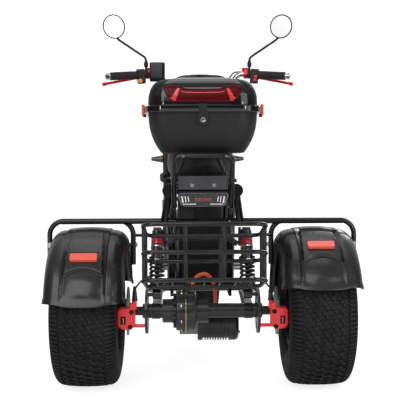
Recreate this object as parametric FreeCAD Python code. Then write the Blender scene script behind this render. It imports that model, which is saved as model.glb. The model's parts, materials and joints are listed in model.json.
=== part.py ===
import FreeCAD, Part
import math
import os

# A motorized trike: one fat wheel in front, two behind on a driven axle.
# Millimetres, +Z up, forward is +Y, ground at z = 0. While it is modelled, y = 0 is the
# rear axle; each piece is then moved so that y = 0 is halfway along the vehicle.

# Whole vehicle
wheelbase = 1300.0
track = 700.0
over = 3.0
hair = 0.3
run_fit = 0.05
lap = 2.0
full_turn_angle = 360.0
half_turn_angle = 180.0
quarter_turn_angle = 90.0
# How closely an edge must follow an axis to count as lying along it
along_share = 0.9

# Tyres
tyre_radius = 228.0
tyre_width = 212.0
tread_width = 178.0
crown_drop = 9.0
bead_radius = 104.0
bead_width = 150.0
bead_height = 13.0
# How far up the wall and how far out to its widest, as shares
wall_shares = ((0.22, 0.72), (0.48, 1.0), (0.80, 0.86))
crown_share = 0.42

# Rims
rim_wall = 4.0
rim_lip = 6.0
rim_lip_height = 10.0
rim_web = 8.0
rim_web_offset = 16.0
rim_windows = 8
rim_window_radius = 16.0
rim_window_circle = 68.0
hub_radius = 38.0
hub_out = 40.0
hub_cap_radius = 27.0
hub_cap_height = 14.0
stub_radius = 14.0

# Brake discs
disc_radius = 75.0
disc_thickness = 4.0
disc_holes = 12
disc_hole_radius = 4.0
disc_hole_circle = 60.0
disc_inset = 120.0

# Rear axle
axle_radius = 22.5
axle_half = 185.0
stub_engage = 36.0
sleeve_radius = 36.5
sleeve_width = 27.0
sleeve_x = -110.0
axle_plate_x = 168.0
axle_plate = 8.0
axle_plate_radius = 70.0
axle_plate_window = 13.0
axle_plate_window_circle = 47.0

# Differential
diff_x = -51.0
diff_width = 62.0
diff_radius = 61.0
diff_hub_radius = 38.0
diff_hub_right = 18.0
diff_hub_gap = 14.0
diff_rib = 5.0
diff_rib_out = 8.0
diff_ribs = 8
diff_flange = 6.0
diff_flange_radius = 66.0
diff_bolts = 8
diff_bolt_radius = 4.0
diff_bolt_circle = 61.0

# Drive motor, ahead of the axle and below it
motor_y = 122.0
motor_drop = 58.0
motor_radius = 59.0
motor_core = 52.0
motor_left = -14.0
motor_right = 118.0
motor_fins = 9
motor_fin = 4.0
motor_cap = 16.0
gearcase_width = 58.0
gearcase_radius = 40.0

# Swinging arm that carries the axle
pivot_y = 300.0
pivot_rise = 34.0
pivot_radius = 18.0
pivot_half = 150.0
arm_x = 143.0
arm_width = 24.0
arm_height = 44.0
arm_wall = 3.0

# Shock absorbers
shock_x = 141.0
shock_low_y = -8.0
shock_low_rise = 52.0
shock_top_y = 66.0
shock_top_rise = 242.0
shock_eye = 13.0
shock_eye_width = 26.0
shock_pin = 6.0
shock_rod = 7.0
shock_body = 17.0
shock_body_share = 0.42
spring_radius = 21.0
spring_wire = 4.0
spring_turns = 6.0
spring_seat = 26.0
spring_seat_height = 6.0

# Rear brake calipers
caliper_inwards = 32.0
caliper_outwards = 20.0
caliper_slot = 14.0
caliper_low = 45.0
caliper_high = 95.0
caliper_half_height = 42.0
caliper_round = 12.0
caliper_lug = 9.0

# Main frame tubes
rail_x = 100.0
rail_rise = 34.0
rail_radius = 17.0
rail_front_setback = 395.0
rail_rear_y = 345.0
seat_rail_rise = 96.0
seat_rail_bend_y = 215.0
seat_rail_end_y = -100.0
seat_loop_front_y = 600.0
seat_loop_radius = 13.0
seat_strut_y = 572.0
neck_spread = 20.0
knee_x = 68.0
knee_setback = 332.0
knee_rise = 222.0
frame_bend = 60.0
brace_radius = 12.0
pivot_plate = 10.0
pivot_plate_height = 64.0
pivot_plate_length = 96.0
post_low_x = 116.0
arch_x = 113.0
arch_top_x = 84.0
arch_rise = 222.0
arch_drop = 22.0
arch_radius = 9.0
arch_bend = 24.0
shock_ear = 8.0
cap_height = 8.0
cap_radius = 20.0

# Steering head and fork
rake_angle = 28.0
fork_offset = 30.0
head_low = 462.0
head_high = 592.0
head_radius = 28.0
steerer_radius = 15.0
head_gap = 2.0
clamp_thick = 22.0
clamp_round = 30.0
leg_x = 135.0
leg_radius = 22.0
leg_low = -34.0
leg_high = 330.0
stanchion_radius = 16.0
stanchion_top = 628.0
front_axle_radius = 10.0
front_hub_half = 96.0
front_disc_x = 104.0
front_disc_radius = 70.0

# Handlebar
bar_radius = 11.0
bar_up = 800.0
bar_forward = 6.0
riser_x = 42.0
riser_radius = 15.0
bar_knee_x = 84.0
bar_rise_x = 165.0
bar_rise = 126.0
bar_back = 34.0
bar_end_x = 360.0
bar_end_back = 78.0
bar_end_rise = 112.0
bar_bend = 40.0
grip_radius = 17.0
grip_length = 110.0
grip_end = 6.0
bar_plug_radius = 13.0
bar_plug = 12.0

# Levers, switch housings and display on the handlebar
housing_length = 30.0
housing_radius = 24.0
housing_block_rear = 25.0
housing_block_front = 10.0
housing_block_drop = 36.0
perch_length = 15.0
perch_radius = 18.0
lever_reach = 46.0
lever_drop = 26.0
lever_length = 190.0
lever_arm = 8.0
lever_blade = 5.5
lever_ball = 7.5
fluid_cup = 14.0
fluid_cup_reach = 34.0
fluid_cup_height = 26.0
display_width = 62.0
display_height = 78.0
display_depth = 18.0
display_round = 12.0
display_share = 0.72
display_out = 22.0
display_rise = 39.0
display_back = 46.0

# Mirrors
mirror_stem = 5.0
mirror_clamp = 13.0
mirror_base_rise = 62.0
mirror_out = 132.0
mirror_rise = 192.0
mirror_knee_in = 21.0
mirror_knee_drop = 46.0
mirror_bend = 10.0
mirror_back = 10.0
mirror_radius = 49.0
mirror_back_radius = 39.0
mirror_depth = 18.0
mirror_angle = 28.0

# Headlight and front signals
lamp_up = 545.0
lamp_bracket = 8.0
lamp_bracket_half = 20.0
lamp_forward = 150.0
lamp_radius = 76.0
lamp_back_radius = 42.0
lamp_depth = 92.0
lamp_rim = 6.0
lamp_rim_width = 14.0
signal_up = 540.0
signal_in = 110.0
signal_out = 200.0
signal_height = 30.0
signal_stem = 7.0

# Fenders
fender_gap = 24.0
fender_wall = 4.0
fender_inset = 6.0
fender_beside = 10.0
fender_crown = 5.0
fender_skirt = 50.0
fender_round = 42.0
fender_low_angle = 12.0
right_fender_angle = 10.0
fender_panel_width = 130.0
fender_panel_edge = 4.0
fender_panel = 4.0
panel_low_angle = 30.0
fender_panel_arc = 90.0
fender_panel_hollow = 25.0
front_fender_beside = 1.0
front_fender_skirt = 46.0
front_fender_round = 34.0
front_fender_start_angle = 40.0
front_fender_end_angle = 196.0

# Reflectors on the rear fenders
reflector_angle = 45.0
reflector_width = 78.0
reflector_height = 25.0
reflector_depth = 9.0
reflector_round = 5.0

# Guard rail over the rear fenders
hoop_radius = 8.0
hoop_stand_in = 15.0
hoop_stand_out = 10.0
hoop_clear = 28.0
hoop_leg = 135.0
hoop_bend = 43.0
crossbar_radius = 9.0
crossbar_lap = 5.0
crossbar_y = -15.0
hoop_bolt = 6.0

# Basket
basket_half = 165.0
basket_rear_y = -370.0
basket_front_y = -150.0
basket_rear_rise = 16.0
basket_front_drop = 34.0
basket_drop = 149.0
basket_rod = 6.0
basket_thin = 3.0
basket_strut = 5.0
basket_strut_drop = 44.0
basket_side_shares = (0.3, 0.7)
basket_bend = 34.0
basket_floor_rods = 7
basket_post_x = 51.0
basket_hook_x = 80.0
basket_hook_radius = 7.0

# Rear rack and the plates on it
rack_x = 84.0
rack_y = -196.0
rack_low_y = -112.0
rack_low_rise = 48.0
rack_foot_y = -20.0
rack_radius = 8.0
rack_bend = 24.0
rack_front_y = 130.0
rack_plate = 4.0
rack_plate_half = 70.0
rack_bar = 6.0
rack_rail_radius = 7.0
rack_rail_x = 50.0
plate_panel_half = 71.0
plate_panel_rise = 53.0
plate_panel_height = 39.0
plate_panel_thick = 2.0
plate_slot_x = 32.0
plate_slot_length = 14.0
plate_slot_width = 6.0

# Tail light and junction box
tail_half = 74.0
tail_rise = 4.0
tail_height = 40.0
tail_depth = 44.0
tail_round = 12.0
box_left = -74.0
box_right = -26.0
box_height = 34.0
box_length = 44.0

# Top case
case_half = 158.0
case_rear_y = -205.0
case_front_y = 150.0
case_rise = 112.0
case_base_height = 122.0
case_lid_height = 94.0
case_wall = 3.0
case_round = 60.0
case_taper = 36.0
lid_inset = 87.0
lid_gap = 0.4
# How far down the base, and how much of its taper is reached there
base_shares = ((0.0, 0.0), (0.25, 0.03), (0.44, 0.12), (0.60, 0.27), (0.72, 0.43), (0.86, 0.68), (1.0, 1.0))
# How far up the dome, and how much of its inset is reached there
lid_shares = ((0.0, 0.0), (0.28, 0.01), (0.55, 0.07), (0.72, 0.15), (0.83, 0.24), (0.90, 0.35), (0.966, 0.54),
              (1.0, 0.80))
case_corner_share = 0.4
band_reach = 10.0
band_height = 19.0
band_slope = 1.5
lens_rise = 24.0
lens_thick = 5.0
# The lens's outline as heights above its lower edge, one side
lens_outline = ((86.0, 0.0), (104.0, 14.0), (111.0, 30.0), (107.0, 40.0), (97.0, 45.0), (80.0, 45.0), (50.0, 36.0))
marker_depth = 9.0
marker_length = 26.0
marker_rear = 34.0
marker_rise = 24.0
marker_drop = 9.0
lock_radius = 16.0
lock_depth = 8.0
lock_drop = 19.0
hinge_ahead = 6.0
hinge_drop = 5.5
hinge_radius = 5.0
hinge_pin = 2.5
hinge_length = 44.0
hinge_ear = 5.0
hinge_x = 92.0

# Backrest pad on the front of the lid
pad_half = 98.0
pad_rise = 24.0
pad_height = 114.0
pad_thick = 38.0
pad_lap = 34.0
pad_round = 16.0

# Seat
seat_half = 128.0
seat_front_y = 640.0
seat_rear_y = 172.0
seat_rise = 30.0
seat_height = 98.0
seat_back_rise = 26.0
seat_back_flat = 52.0
seat_back_slope = 130.0
seat_round = 17.0
seat_pan = 10.0
seat_pan_half = 118.0

# Battery box, deck and side panels
battery_half = 80.0
battery_rear_y = 372.0
battery_front_y = 574.0
battery_drop = 16.0
battery_round = 14.0
deck_half = 168.0
deck_rear_y = 592.0
deck_setback = 442.0
deck_thick = 6.0
deck_lip = 16.0
deck_ribs = 7
deck_rib_width = 8.0
deck_rib_height = 3.0

# Thick cable from the differential to the motor
cable_radius = 6.0
cable_arc_share = 0.45
# Its corners, with heights above the axle
cable_points = [
    (-32.0, 60.0, 72.0),
    (-14.0, 66.0, 102.0),
    (14.0, 76.0, 106.0),
    (36.0, 96.0, 78.0),
    (44.0, 122.0, 40.0),
    (44.0, 122.0, 1.3),
]

# Brake hoses
hose_radius = 3.0
hose_lead = 34.0
# The front hose from the right lever to the front caliper: across, forward of the steering axis, along it
front_hose_points = [
    (112.0, 100.0, 850.0),
    (40.0, 104.0, 730.0),
    (-96.0, 84.0, 640.0),
    (-96.0, 76.0, 425.0),
    (-102.0, 10.0, 380.0),
    (-121.0, -20.0, 320.0),
]
# A rear hose from the right caliper over the axle to the seat pillar, as heights above the axle
rear_hose_points = [
    (190.0, 0.0, 94.0),
    (184.0, 120.0, 78.0),
    (172.0, 250.0, 78.0),
]
rear_hose_x = 206.0
rear_hose_y = -64.0
rear_hose_rise = 35.0
rear_hose_end_rise = 102.0
rear_hose_end_x = 150.0

# Heights that follow the axle's
motor_z = tyre_radius - motor_drop
pivot_z = tyre_radius + pivot_rise
shock_low_z = tyre_radius + shock_low_rise
shock_top_z = tyre_radius + shock_top_rise
rail_z = tyre_radius + rail_rise
knee_z = tyre_radius + knee_rise
arch_z = tyre_radius + arch_rise
arch_low_z = arch_z - arch_drop

# Places that follow the wheels' and the fenders'
rail_front_y = wheelbase - rail_front_setback
knee_y = wheelbase - knee_setback
deck_front_y = wheelbase - deck_setback
disc_x = track / 2 - disc_inset
caliper_in = disc_x - caliper_inwards
caliper_out = disc_x + caliper_outwards
fender_x = track / 2 - fender_inset
fender_width = tyre_width + 2 * fender_beside
front_fender_width = tyre_width + 2 * front_fender_beside
hoop_in = fender_x - fender_width / 2 - hoop_stand_in
hoop_out = fender_x + fender_width / 2 + hoop_stand_out
hoop_top = 2 * tyre_radius + fender_gap + hoop_clear
hoop_low = hoop_top - hoop_leg
crossbar_half = hoop_out - hoop_bend + crossbar_lap

# Heights that follow the guard rail's
seat_rail_z = hoop_top + seat_rail_rise
battery_high_z = seat_rail_z - battery_drop
seat_low_z = seat_rail_z + seat_rise
seat_high_z = seat_low_z + seat_height
basket_rear_z = hoop_top + basket_rear_rise
basket_front_z = hoop_top - basket_front_drop
rack_low_z = hoop_top + rack_low_rise
plate_panel_low = rack_low_z + plate_panel_rise
plate_panel_high = plate_panel_low + plate_panel_height
tail_low = rack_low_z + tail_rise
tail_high = tail_low + tail_height
case_low_z = seat_rail_z + case_rise
case_rim_z = case_low_z + case_base_height
case_top_z = case_rim_z + case_lid_height
lock_z = case_rim_z - lock_drop
lens_low = case_rim_z + lens_rise
pad_low = case_rim_z + pad_rise
pad_high = pad_low + pad_height
hinge_y = case_front_y + hinge_ahead
hinge_z = case_rim_z - hinge_drop

# The rack's tubes carry its plate just below the case
rack_z = case_low_z - hair - rack_plate + lap - rack_radius

# How far a rounded corner's middle lies in from its square corner, as a share of its radius
corner_in = 1 - math.sqrt(0.5)

# Where the rear-most and the front-most piece end
rear_end = basket_rear_y - basket_rod
front_end = wheelbase + tyre_radius
origin_shift = -(rear_end + front_end) / 2


def vec(x, y, z):
    return FreeCAD.Vector(x, y, z)


def save(name, shape):
    """Write one piece, moved so that y = 0 is halfway along the vehicle."""
    piece = shape.copy()
    piece.translate(vec(0, origin_shift, 0))
    piece.exportStep(os.path.join("parts", name + ".step"))


def box(x0, x1, y0, y1, z0, z1):
    return Part.makeBox(x1 - x0, y1 - y0, z1 - z0, vec(x0, y0, z0))


def rod(start, end, radius):
    """A round bar between two points."""
    way = end - start
    return Part.makeCylinder(radius, way.Length, start, way)


def taper(start, end, radius0, radius1):
    way = end - start
    return Part.makeCone(radius0, radius1, way.Length, start, way)


def fuse(shapes):
    return shapes[0].multiFuse(shapes[1:]).removeSplitter()


def mirrored(shape):
    return shape.mirror(vec(0, 0, 0), vec(1, 0, 0))


def both_sides(shape):
    return [shape, mirrored(shape)]


def bent_wire(points, bend):
    """Straight runs joined by tangent arcs of one radius."""
    edges = []
    last = points[0]
    for before, corner, after in zip(points, points[1:], points[2:]):
        back = (before - corner).normalize()
        ahead = (after - corner).normalize()
        half = back.getAngle(ahead) / 2
        reach = bend / math.tan(half)
        centre = corner + (back + ahead).normalize() * (bend / math.sin(half))
        middle = centre + (corner - centre).normalize() * bend
        enter = corner + back * reach
        leave = corner + ahead * reach
        edges.append(Part.LineSegment(last, enter).toShape())
        edges.append(Part.Arc(enter, middle, leave).toShape())
        last = leave
    edges.append(Part.LineSegment(last, points[-1]).toShape())
    return Part.Wire(edges)


def bent_tube(points, radius, bend):
    wire = bent_wire(points, bend)
    first = points[0]
    ring = Part.Wire([Part.makeCircle(radius, first, points[1] - first)])
    return wire.makePipeShell([ring], True, False)


def cord_tube(points, radius):
    """A bent tube whose arcs are as large as their two runs allow."""
    edges = []
    last = points[0]
    for before, corner, after in zip(points, points[1:], points[2:]):
        back = before - corner
        ahead = after - corner
        turn = math.pi - back.getAngle(ahead)
        reach = cable_arc_share * min(back.Length, ahead.Length)
        bend = reach / math.tan(turn / 2)
        print("cable radius", round(bend, 1))
        back.normalize()
        ahead.normalize()
        half = (math.pi - turn) / 2
        centre = corner + (back + ahead).normalize() * (bend / math.sin(half))
        middle = centre + (corner - centre).normalize() * bend
        edges.append(Part.LineSegment(last, corner + back * reach).toShape())
        edges.append(Part.Arc(corner + back * reach, middle, corner + ahead * reach).toShape())
        last = corner + ahead * reach
    edges.append(Part.LineSegment(last, points[-1]).toShape())
    wire = Part.Wire(edges)
    ring = Part.Wire([Part.makeCircle(radius, points[0], points[1] - points[0])])
    tube = wire.makePipeShell([ring], True, False)
    print("cable volume share", round(tube.Volume / (math.pi * radius ** 2 * wire.Length), 4))
    return tube


def turned_ring(outline, start=0.0, sweep=full_turn_angle):
    """Revolve an outline of (across, radius) edges about the wheel's axis, along X."""
    face = Part.Face(Part.Wire(outline))
    ring = face.revolve(vec(0, 0, 0), vec(1, 0, 0), sweep)
    ring.rotate(vec(0, 0, 0), vec(1, 0, 0), start)
    return ring


def line(a, b):
    return Part.LineSegment(vec(a[0], a[1], 0), vec(b[0], b[1], 0)).toShape()


def arc(a, b, c):
    return Part.Arc(vec(a[0], a[1], 0), vec(b[0], b[1], 0), vec(c[0], c[1], 0)).toShape()


def placed(shape, x, y, z):
    moved = shape.copy()
    moved.translate(vec(x, y, z))
    return moved


def upright_round_box(x0, x1, y0, y1, z0, z1, radius):
    """A box whose four upright edges are rounded."""
    solid = box(x0, x1, y0, y1, z0, z1)
    edges = [e for e in solid.Edges if abs(e.tangentAt(e.FirstParameter).z) > along_share]
    return solid.makeFillet(radius, edges)


def soft_box(x0, x1, y0, y1, z0, z1, radius):
    """A box with every edge rounded."""
    solid = box(x0, x1, y0, y1, z0, z1)
    return solid.makeFillet(radius, solid.Edges)


# Steering frame: along the steering axis and forward of it
rake_sin = math.sin(math.radians(rake_angle))
rake_cos = math.cos(math.radians(rake_angle))
steer_up = vec(0, -rake_sin, rake_cos)
steer_ahead = vec(0, rake_cos, rake_sin)
front_centre = vec(0, wheelbase, tyre_radius)
steer_foot = front_centre - steer_ahead * fork_offset


def steer_point(x, ahead, up):
    return steer_foot + vec(x, 0, 0) + steer_ahead * ahead + steer_up * up


def tyre():
    """Fat tyre: crowned tread, rounded shoulders, bulged walls and upright beads, in narrow bands."""
    half = tyre_width / 2
    tread = tread_width / 2
    bead = bead_width / 2
    shoulder = tyre_radius - crown_drop
    knee = bead_radius + bead_height
    one_side = [(bead, bead_radius), (bead, knee)]
    for up, out in wall_shares:
        one_side.append((bead + out * (half - bead), knee + up * (shoulder - knee)))
    one_side.append((tread, shoulder))
    one_side.append((tread * crown_share, tyre_radius))
    other_side = [(-across, radius) for across, radius in reversed(one_side)]
    points = one_side + other_side
    outline = [line(a, b) for a, b in zip(points, points[1:] + points[:1])]
    return turned_ring(outline)


def rim_barrel():
    """The barrel with its two lips."""
    bead = bead_width / 2 + hair
    outer = bead_radius - hair
    lip = bead + rim_lip
    tall = outer + rim_lip_height
    inner = outer - rim_wall
    outline = [
        line((-lip, inner), (lip, inner)),
        line((lip, inner), (lip, tall)),
        line((lip, tall), (bead, tall)),
        line((bead, tall), (bead, outer)),
        line((bead, outer), (-bead, outer)),
        line((-bead, outer), (-bead, tall)),
        line((-bead, tall), (-lip, tall)),
        line((-lip, tall), (-lip, inner)),
    ]
    return turned_ring(outline)


def rim_web_disc():
    """The web between barrel and hub, with a ring of round windows."""
    start = vec(rim_web_offset - rim_web / 2, 0, 0)
    end = vec(rim_web_offset + rim_web / 2, 0, 0)
    web = rod(start, end, bead_radius - hair - rim_wall / 2)
    windows = []
    for i in range(rim_windows):
        turn = 2 * math.pi * i / rim_windows
        off = vec(0, rim_window_circle * math.cos(turn), rim_window_circle * math.sin(turn))
        windows.append(rod(start + off - vec(over, 0, 0), end + off + vec(over, 0, 0), rim_window_radius))
    return web.cut(windows)


def rear_rim():
    """Barrel, web, hub, cap and the stub that turns in the axle tube. Outward is +X."""
    reach = track / 2 - axle_half + stub_engage
    hub = rod(vec(-disc_inset + disc_thickness / 2 + hair, 0, 0), vec(hub_out, 0, 0), hub_radius)
    cap = rod(vec(hub_out - lap, 0, 0), vec(hub_out + hub_cap_height, 0, 0), hub_cap_radius)
    stub = rod(vec(-reach, 0, 0), vec(0, 0, 0), stub_radius)
    return fuse([rim_barrel(), rim_web_disc(), hub, cap, stub])


def brake_disc(radius, bore):
    start = vec(-disc_thickness / 2, 0, 0)
    end = vec(disc_thickness / 2, 0, 0)
    plate = rod(start, end, radius)
    cuts = [rod(start - vec(over, 0, 0), end + vec(over, 0, 0), bore)]
    for i in range(disc_holes):
        turn = 2 * math.pi * i / disc_holes
        circle = disc_hole_circle * radius / disc_radius
        off = vec(0, circle * math.cos(turn), circle * math.sin(turn))
        cuts.append(rod(start + off - vec(over, 0, 0), end + off + vec(over, 0, 0), disc_hole_radius))
    return plate.cut(cuts)


def rear_wheels():
    right = {
        "rear_right_tyre": tyre(),
        "rear_right_rim": rear_rim(),
        "rear_right_disc": placed(brake_disc(disc_radius, stub_radius + hair), -disc_inset, 0, 0),
    }
    for name, shape in right.items():
        piece = placed(shape, track / 2, 0, tyre_radius)
        save(name, piece)
        save(name.replace("right", "left"), mirrored(piece))


def front_wheel():
    save("front_tyre", placed(tyre(), 0, wheelbase, tyre_radius))
    hub = rod(vec(-front_hub_half, 0, 0), vec(front_hub_half, 0, 0), hub_radius)
    rim = fuse([rim_barrel(), placed(rim_web_disc(), -rim_web_offset, 0, 0), hub])
    rim = rim.cut(rod(vec(-front_hub_half - over, 0, 0), vec(front_hub_half + over, 0, 0),
                      front_axle_radius + run_fit))
    save("front_rim", placed(rim, 0, wheelbase, tyre_radius))
    disc = brake_disc(front_disc_radius, front_axle_radius + hair)
    save("front_disc", placed(disc, -front_disc_x + disc_thickness, wheelbase, tyre_radius))


def axle_housing():
    """Axle tube with its sleeve and the two end plates that carry shocks and calipers."""
    tube = rod(vec(-axle_half, 0, 0), vec(axle_half, 0, 0), axle_radius)
    sleeve = rod(vec(sleeve_x - sleeve_width / 2, 0, 0), vec(sleeve_x + sleeve_width / 2, 0, 0), sleeve_radius)
    parts = [tube, sleeve]
    for side in (-1, 1):
        inner = side * axle_plate_x
        outer = inner + side * axle_plate
        plate = rod(vec(inner, 0, 0), vec(outer, 0, 0), axle_plate_radius)
        windows = []
        for i in range(3):
            turn = math.radians(quarter_turn_angle * (i - 1))
            off = vec(0, axle_plate_window_circle * math.cos(turn), axle_plate_window_circle * math.sin(turn))
            start = vec(inner - side * over, 0, 0) + off
            end = vec(outer + side * over, 0, 0) + off
            windows.append(rod(start, end, axle_plate_window))
        parts.append(plate.cut(windows))
        pin = vec(0, shock_low_y, shock_low_z - tyre_radius)
        pin_end = side * (shock_x - shock_eye_width / 2)
        parts.append(rod(pin + vec(inner + side * lap, 0, 0), pin + vec(pin_end, 0, 0), shock_pin))
    body = fuse(parts)
    bores = []
    for side in (-1, 1):
        start = vec(side * (axle_half - stub_engage - lap), 0, 0)
        bores.append(rod(start, vec(side * (axle_half + over), 0, 0), stub_radius + run_fit))
    body = body.cut(bores)
    diff_left = diff_x - diff_width / 2 - diff_hub_gap
    diff_span = rod(vec(diff_left - hair, 0, 0), vec(diff_hub_right + hair, 0, 0), sleeve_radius + over)
    return placed(body.cut(diff_span), 0, 0, tyre_radius)


def differential():
    """Ribbed round housing split by a bolted flange, with a gear case down to the motor."""
    left = diff_x - diff_width / 2
    right = diff_x + diff_width / 2
    drum = rod(vec(left, 0, 0), vec(right, 0, 0), diff_radius)
    drum = drum.makeFillet(diff_rib, drum.Edges)
    flange = rod(vec(diff_x - diff_flange, 0, 0), vec(diff_x, 0, 0), diff_flange_radius)
    hub_left = rod(vec(left - diff_hub_gap, 0, 0), vec(left + lap, 0, 0), diff_hub_radius)
    hub_right = rod(vec(right - lap, 0, 0), vec(diff_hub_right, 0, 0), diff_hub_radius)
    parts = [drum, flange, hub_left, hub_right]
    for i in range(diff_bolts):
        turn = 2 * math.pi * (i + 1 / 2) / diff_bolts
        off = vec(0, diff_bolt_circle * math.cos(turn), diff_bolt_circle * math.sin(turn))
        parts.append(rod(vec(diff_x - diff_flange * 2, 0, 0) + off, vec(diff_x + diff_flange, 0, 0) + off,
                         diff_bolt_radius))
    for i in range(diff_ribs):
        rib = box(left - diff_rib_out, left + lap, -diff_rib / 2, diff_rib / 2,
                  diff_hub_radius - lap, diff_radius - diff_rib)
        rib.rotate(vec(0, 0, 0), vec(1, 0, 0), full_turn_angle * (i + 1 / 4) / diff_ribs)
        parts.append(rib)
    drop = motor_z - tyre_radius
    case = gearcase(drop)
    return placed(fuse(parts + [case]), 0, 0, tyre_radius)


def gearcase(drop):
    """Hull of two rounds, from the axle to the motor's shaft."""
    left = motor_left - hair - gearcase_width
    right = motor_left - hair
    way = vec(0, motor_y, drop)
    length = way.Length
    along = way.normalize()
    across = vec(0, -along.z, along.y)
    far = along * length
    points = [
        across * gearcase_radius,
        far + across * gearcase_radius,
        far - across * gearcase_radius,
        -across * gearcase_radius,
    ]
    web = Part.Face(Part.makePolygon([p + vec(left, 0, 0) for p in points + points[:1]]))
    slab = web.extrude(vec(right - left, 0, 0))
    near_round = rod(vec(left, 0, 0), vec(right, 0, 0), gearcase_radius)
    far_round = rod(vec(left, 0, 0) + far, vec(right, 0, 0) + far, gearcase_radius)
    return fuse([slab, near_round, far_round])


def drive_motor():
    """Finned cylinder with a domed end cap."""
    core = rod(vec(motor_left, 0, 0), vec(motor_right - motor_cap, 0, 0), motor_core)
    cap = rod(vec(motor_right - 2 * motor_cap, 0, 0), vec(motor_right, 0, 0), motor_radius)
    cap = cap.makeFillet(motor_cap - lap, [cap.Edges[0] if cap.Edges[0].CenterOfMass.x > motor_right - 1
                                          else cap.Edges[2]])
    base = rod(vec(motor_left, 0, 0), vec(motor_left + motor_cap, 0, 0), motor_radius)
    parts = [core, cap, base]
    first = motor_left + motor_cap
    last = motor_right - 2 * motor_cap
    pitch = (last - first) / (motor_fins + 1)
    for i in range(motor_fins):
        x = first + pitch * (i + 1)
        parts.append(rod(vec(x - motor_fin / 2, 0, 0), vec(x + motor_fin / 2, 0, 0), motor_radius))
    return placed(fuse(parts), 0, motor_y, motor_z)


def swingarm():
    """Two box arms from the pivot tube back to the axle plates."""
    parts = [rod(vec(-pivot_half, pivot_y, pivot_z), vec(pivot_half, pivot_y, pivot_z), pivot_radius)]
    half = arm_height / 2
    for side in (-1, 1):
        x0 = side * arm_x - arm_width / 2
        face = Part.Face(Part.makePolygon([
            vec(x0, pivot_y, pivot_z - half),
            vec(x0, pivot_y, pivot_z + half),
            vec(x0, 0, tyre_radius + half),
            vec(x0, 0, tyre_radius - half),
            vec(x0, pivot_y, pivot_z - half),
        ]))
        arm = face.extrude(vec(arm_width, 0, 0))
        boss = rod(vec(x0, pivot_y, pivot_z), vec(x0 + arm_width, pivot_y, pivot_z), half + arm_wall)
        end = rod(vec(x0, 0, tyre_radius), vec(x0 + arm_width, 0, tyre_radius), half + arm_wall)
        parts += [arm, boss, end]
    body = fuse(parts)
    axle_hole = rod(vec(-axle_half, 0, tyre_radius), vec(axle_half, 0, tyre_radius), axle_radius + hair)
    return body.cut(axle_hole)


def shock_line(side):
    low = vec(side * shock_x, shock_low_y, shock_low_z)
    top = vec(side * shock_x, shock_top_y, shock_top_z)
    return low, top


def shock(side):
    """Eyes, rod, body, two spring seats and a side reservoir."""
    low, top = shock_line(side)
    way = (top - low).normalize()
    length = (top - low).Length
    half = vec(shock_eye_width / 2, 0, 0)
    parts = [
        rod(low - half, low + half, shock_eye),
        rod(top - half, top + half, shock_eye),
        rod(low, top, shock_rod),
        rod(top - way * (length * shock_body_share), top, shock_body),
    ]
    for at in (shock_eye - lap, length * (1 - shock_body_share) - spring_seat_height):
        parts.append(rod(low + way * at, low + way * (at + spring_seat_height), spring_seat))
    body = fuse(parts)
    for point in (low, top):
        body = body.cut(rod(point - half * 2, point + half * 2, shock_pin + run_fit))
    return body


def spring(side):
    """Coil between the two seats."""
    low, top = shock_line(side)
    length = (top - low).Length
    start = shock_eye - lap + spring_seat_height + hair + spring_wire
    end = length * (1 - shock_body_share) - spring_seat_height - hair - spring_wire
    helix = Part.makeHelix((end - start) / spring_turns, end - start, spring_radius)
    ring = Part.Wire([Part.makeCircle(spring_wire, vec(spring_radius, 0, 0), vec(0, 1, 0))])
    coil = Part.Wire(helix).makePipeShell([ring], True, True)
    turn = FreeCAD.Rotation(vec(0, 0, 1), top - low)
    coil.Placement = FreeCAD.Placement(low + (top - low).normalize() * start, turn)
    return coil


def rear_caliper(side):
    """Block astride the disc, on a lug that reaches the axle plate."""
    inner = min(side * caliper_in, side * caliper_out)
    outer = max(side * caliper_in, side * caliper_out)
    low = tyre_radius - caliper_half_height
    high = tyre_radius + caliper_half_height
    block = box(inner, outer, -caliper_high, -caliper_low, low, high)
    edges = [e for e in block.Edges if abs(e.tangentAt(e.FirstParameter).x) > along_share]
    block = block.makeFillet(caliper_round, edges)
    disc_at = side * (track / 2 - disc_inset)
    reach = caliper_low - caliper_high + caliper_round
    slot = box(disc_at - caliper_slot / 2, disc_at + caliper_slot / 2, reach - disc_radius, 0,
               low - over, high + over)
    slot = slot.common(rod(vec(disc_at - caliper_slot, 0, tyre_radius),
                           vec(disc_at + caliper_slot, 0, tyre_radius), disc_radius + caliper_lug))
    block = block.cut(slot)
    plate_face = side * (axle_plate_x + axle_plate + hair)
    lugs = []
    for up in (-1, 1):
        at = vec(0, -caliper_low - caliper_lug, tyre_radius + up * (caliper_half_height - caliper_lug * 2))
        lugs.append(rod(at + vec(plate_face, 0, 0), at + vec(side * (caliper_in + lap), 0, 0), caliper_lug))
    return fuse([block] + lugs)


def frame_side():
    """One side's long tube: neck, foot rail, seat pillar and seat rail."""
    neck = steer_point(neck_spread, 0, (head_low + head_high) / 2)
    points = [
        neck,
        vec(knee_x, knee_y, knee_z),
        vec(rail_x, rail_front_y, rail_z),
        vec(rail_x, rail_rear_y, rail_z),
        vec(rail_x, seat_rail_bend_y, seat_rail_z),
        vec(rail_x, seat_rail_end_y, seat_rail_z),
    ]
    tube = bent_tube(points, rail_radius, frame_bend)
    end = points[-1]
    cap = rod(end + vec(0, lap, 0), end - vec(0, cap_height, 0), cap_radius)
    return tube, cap


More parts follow.
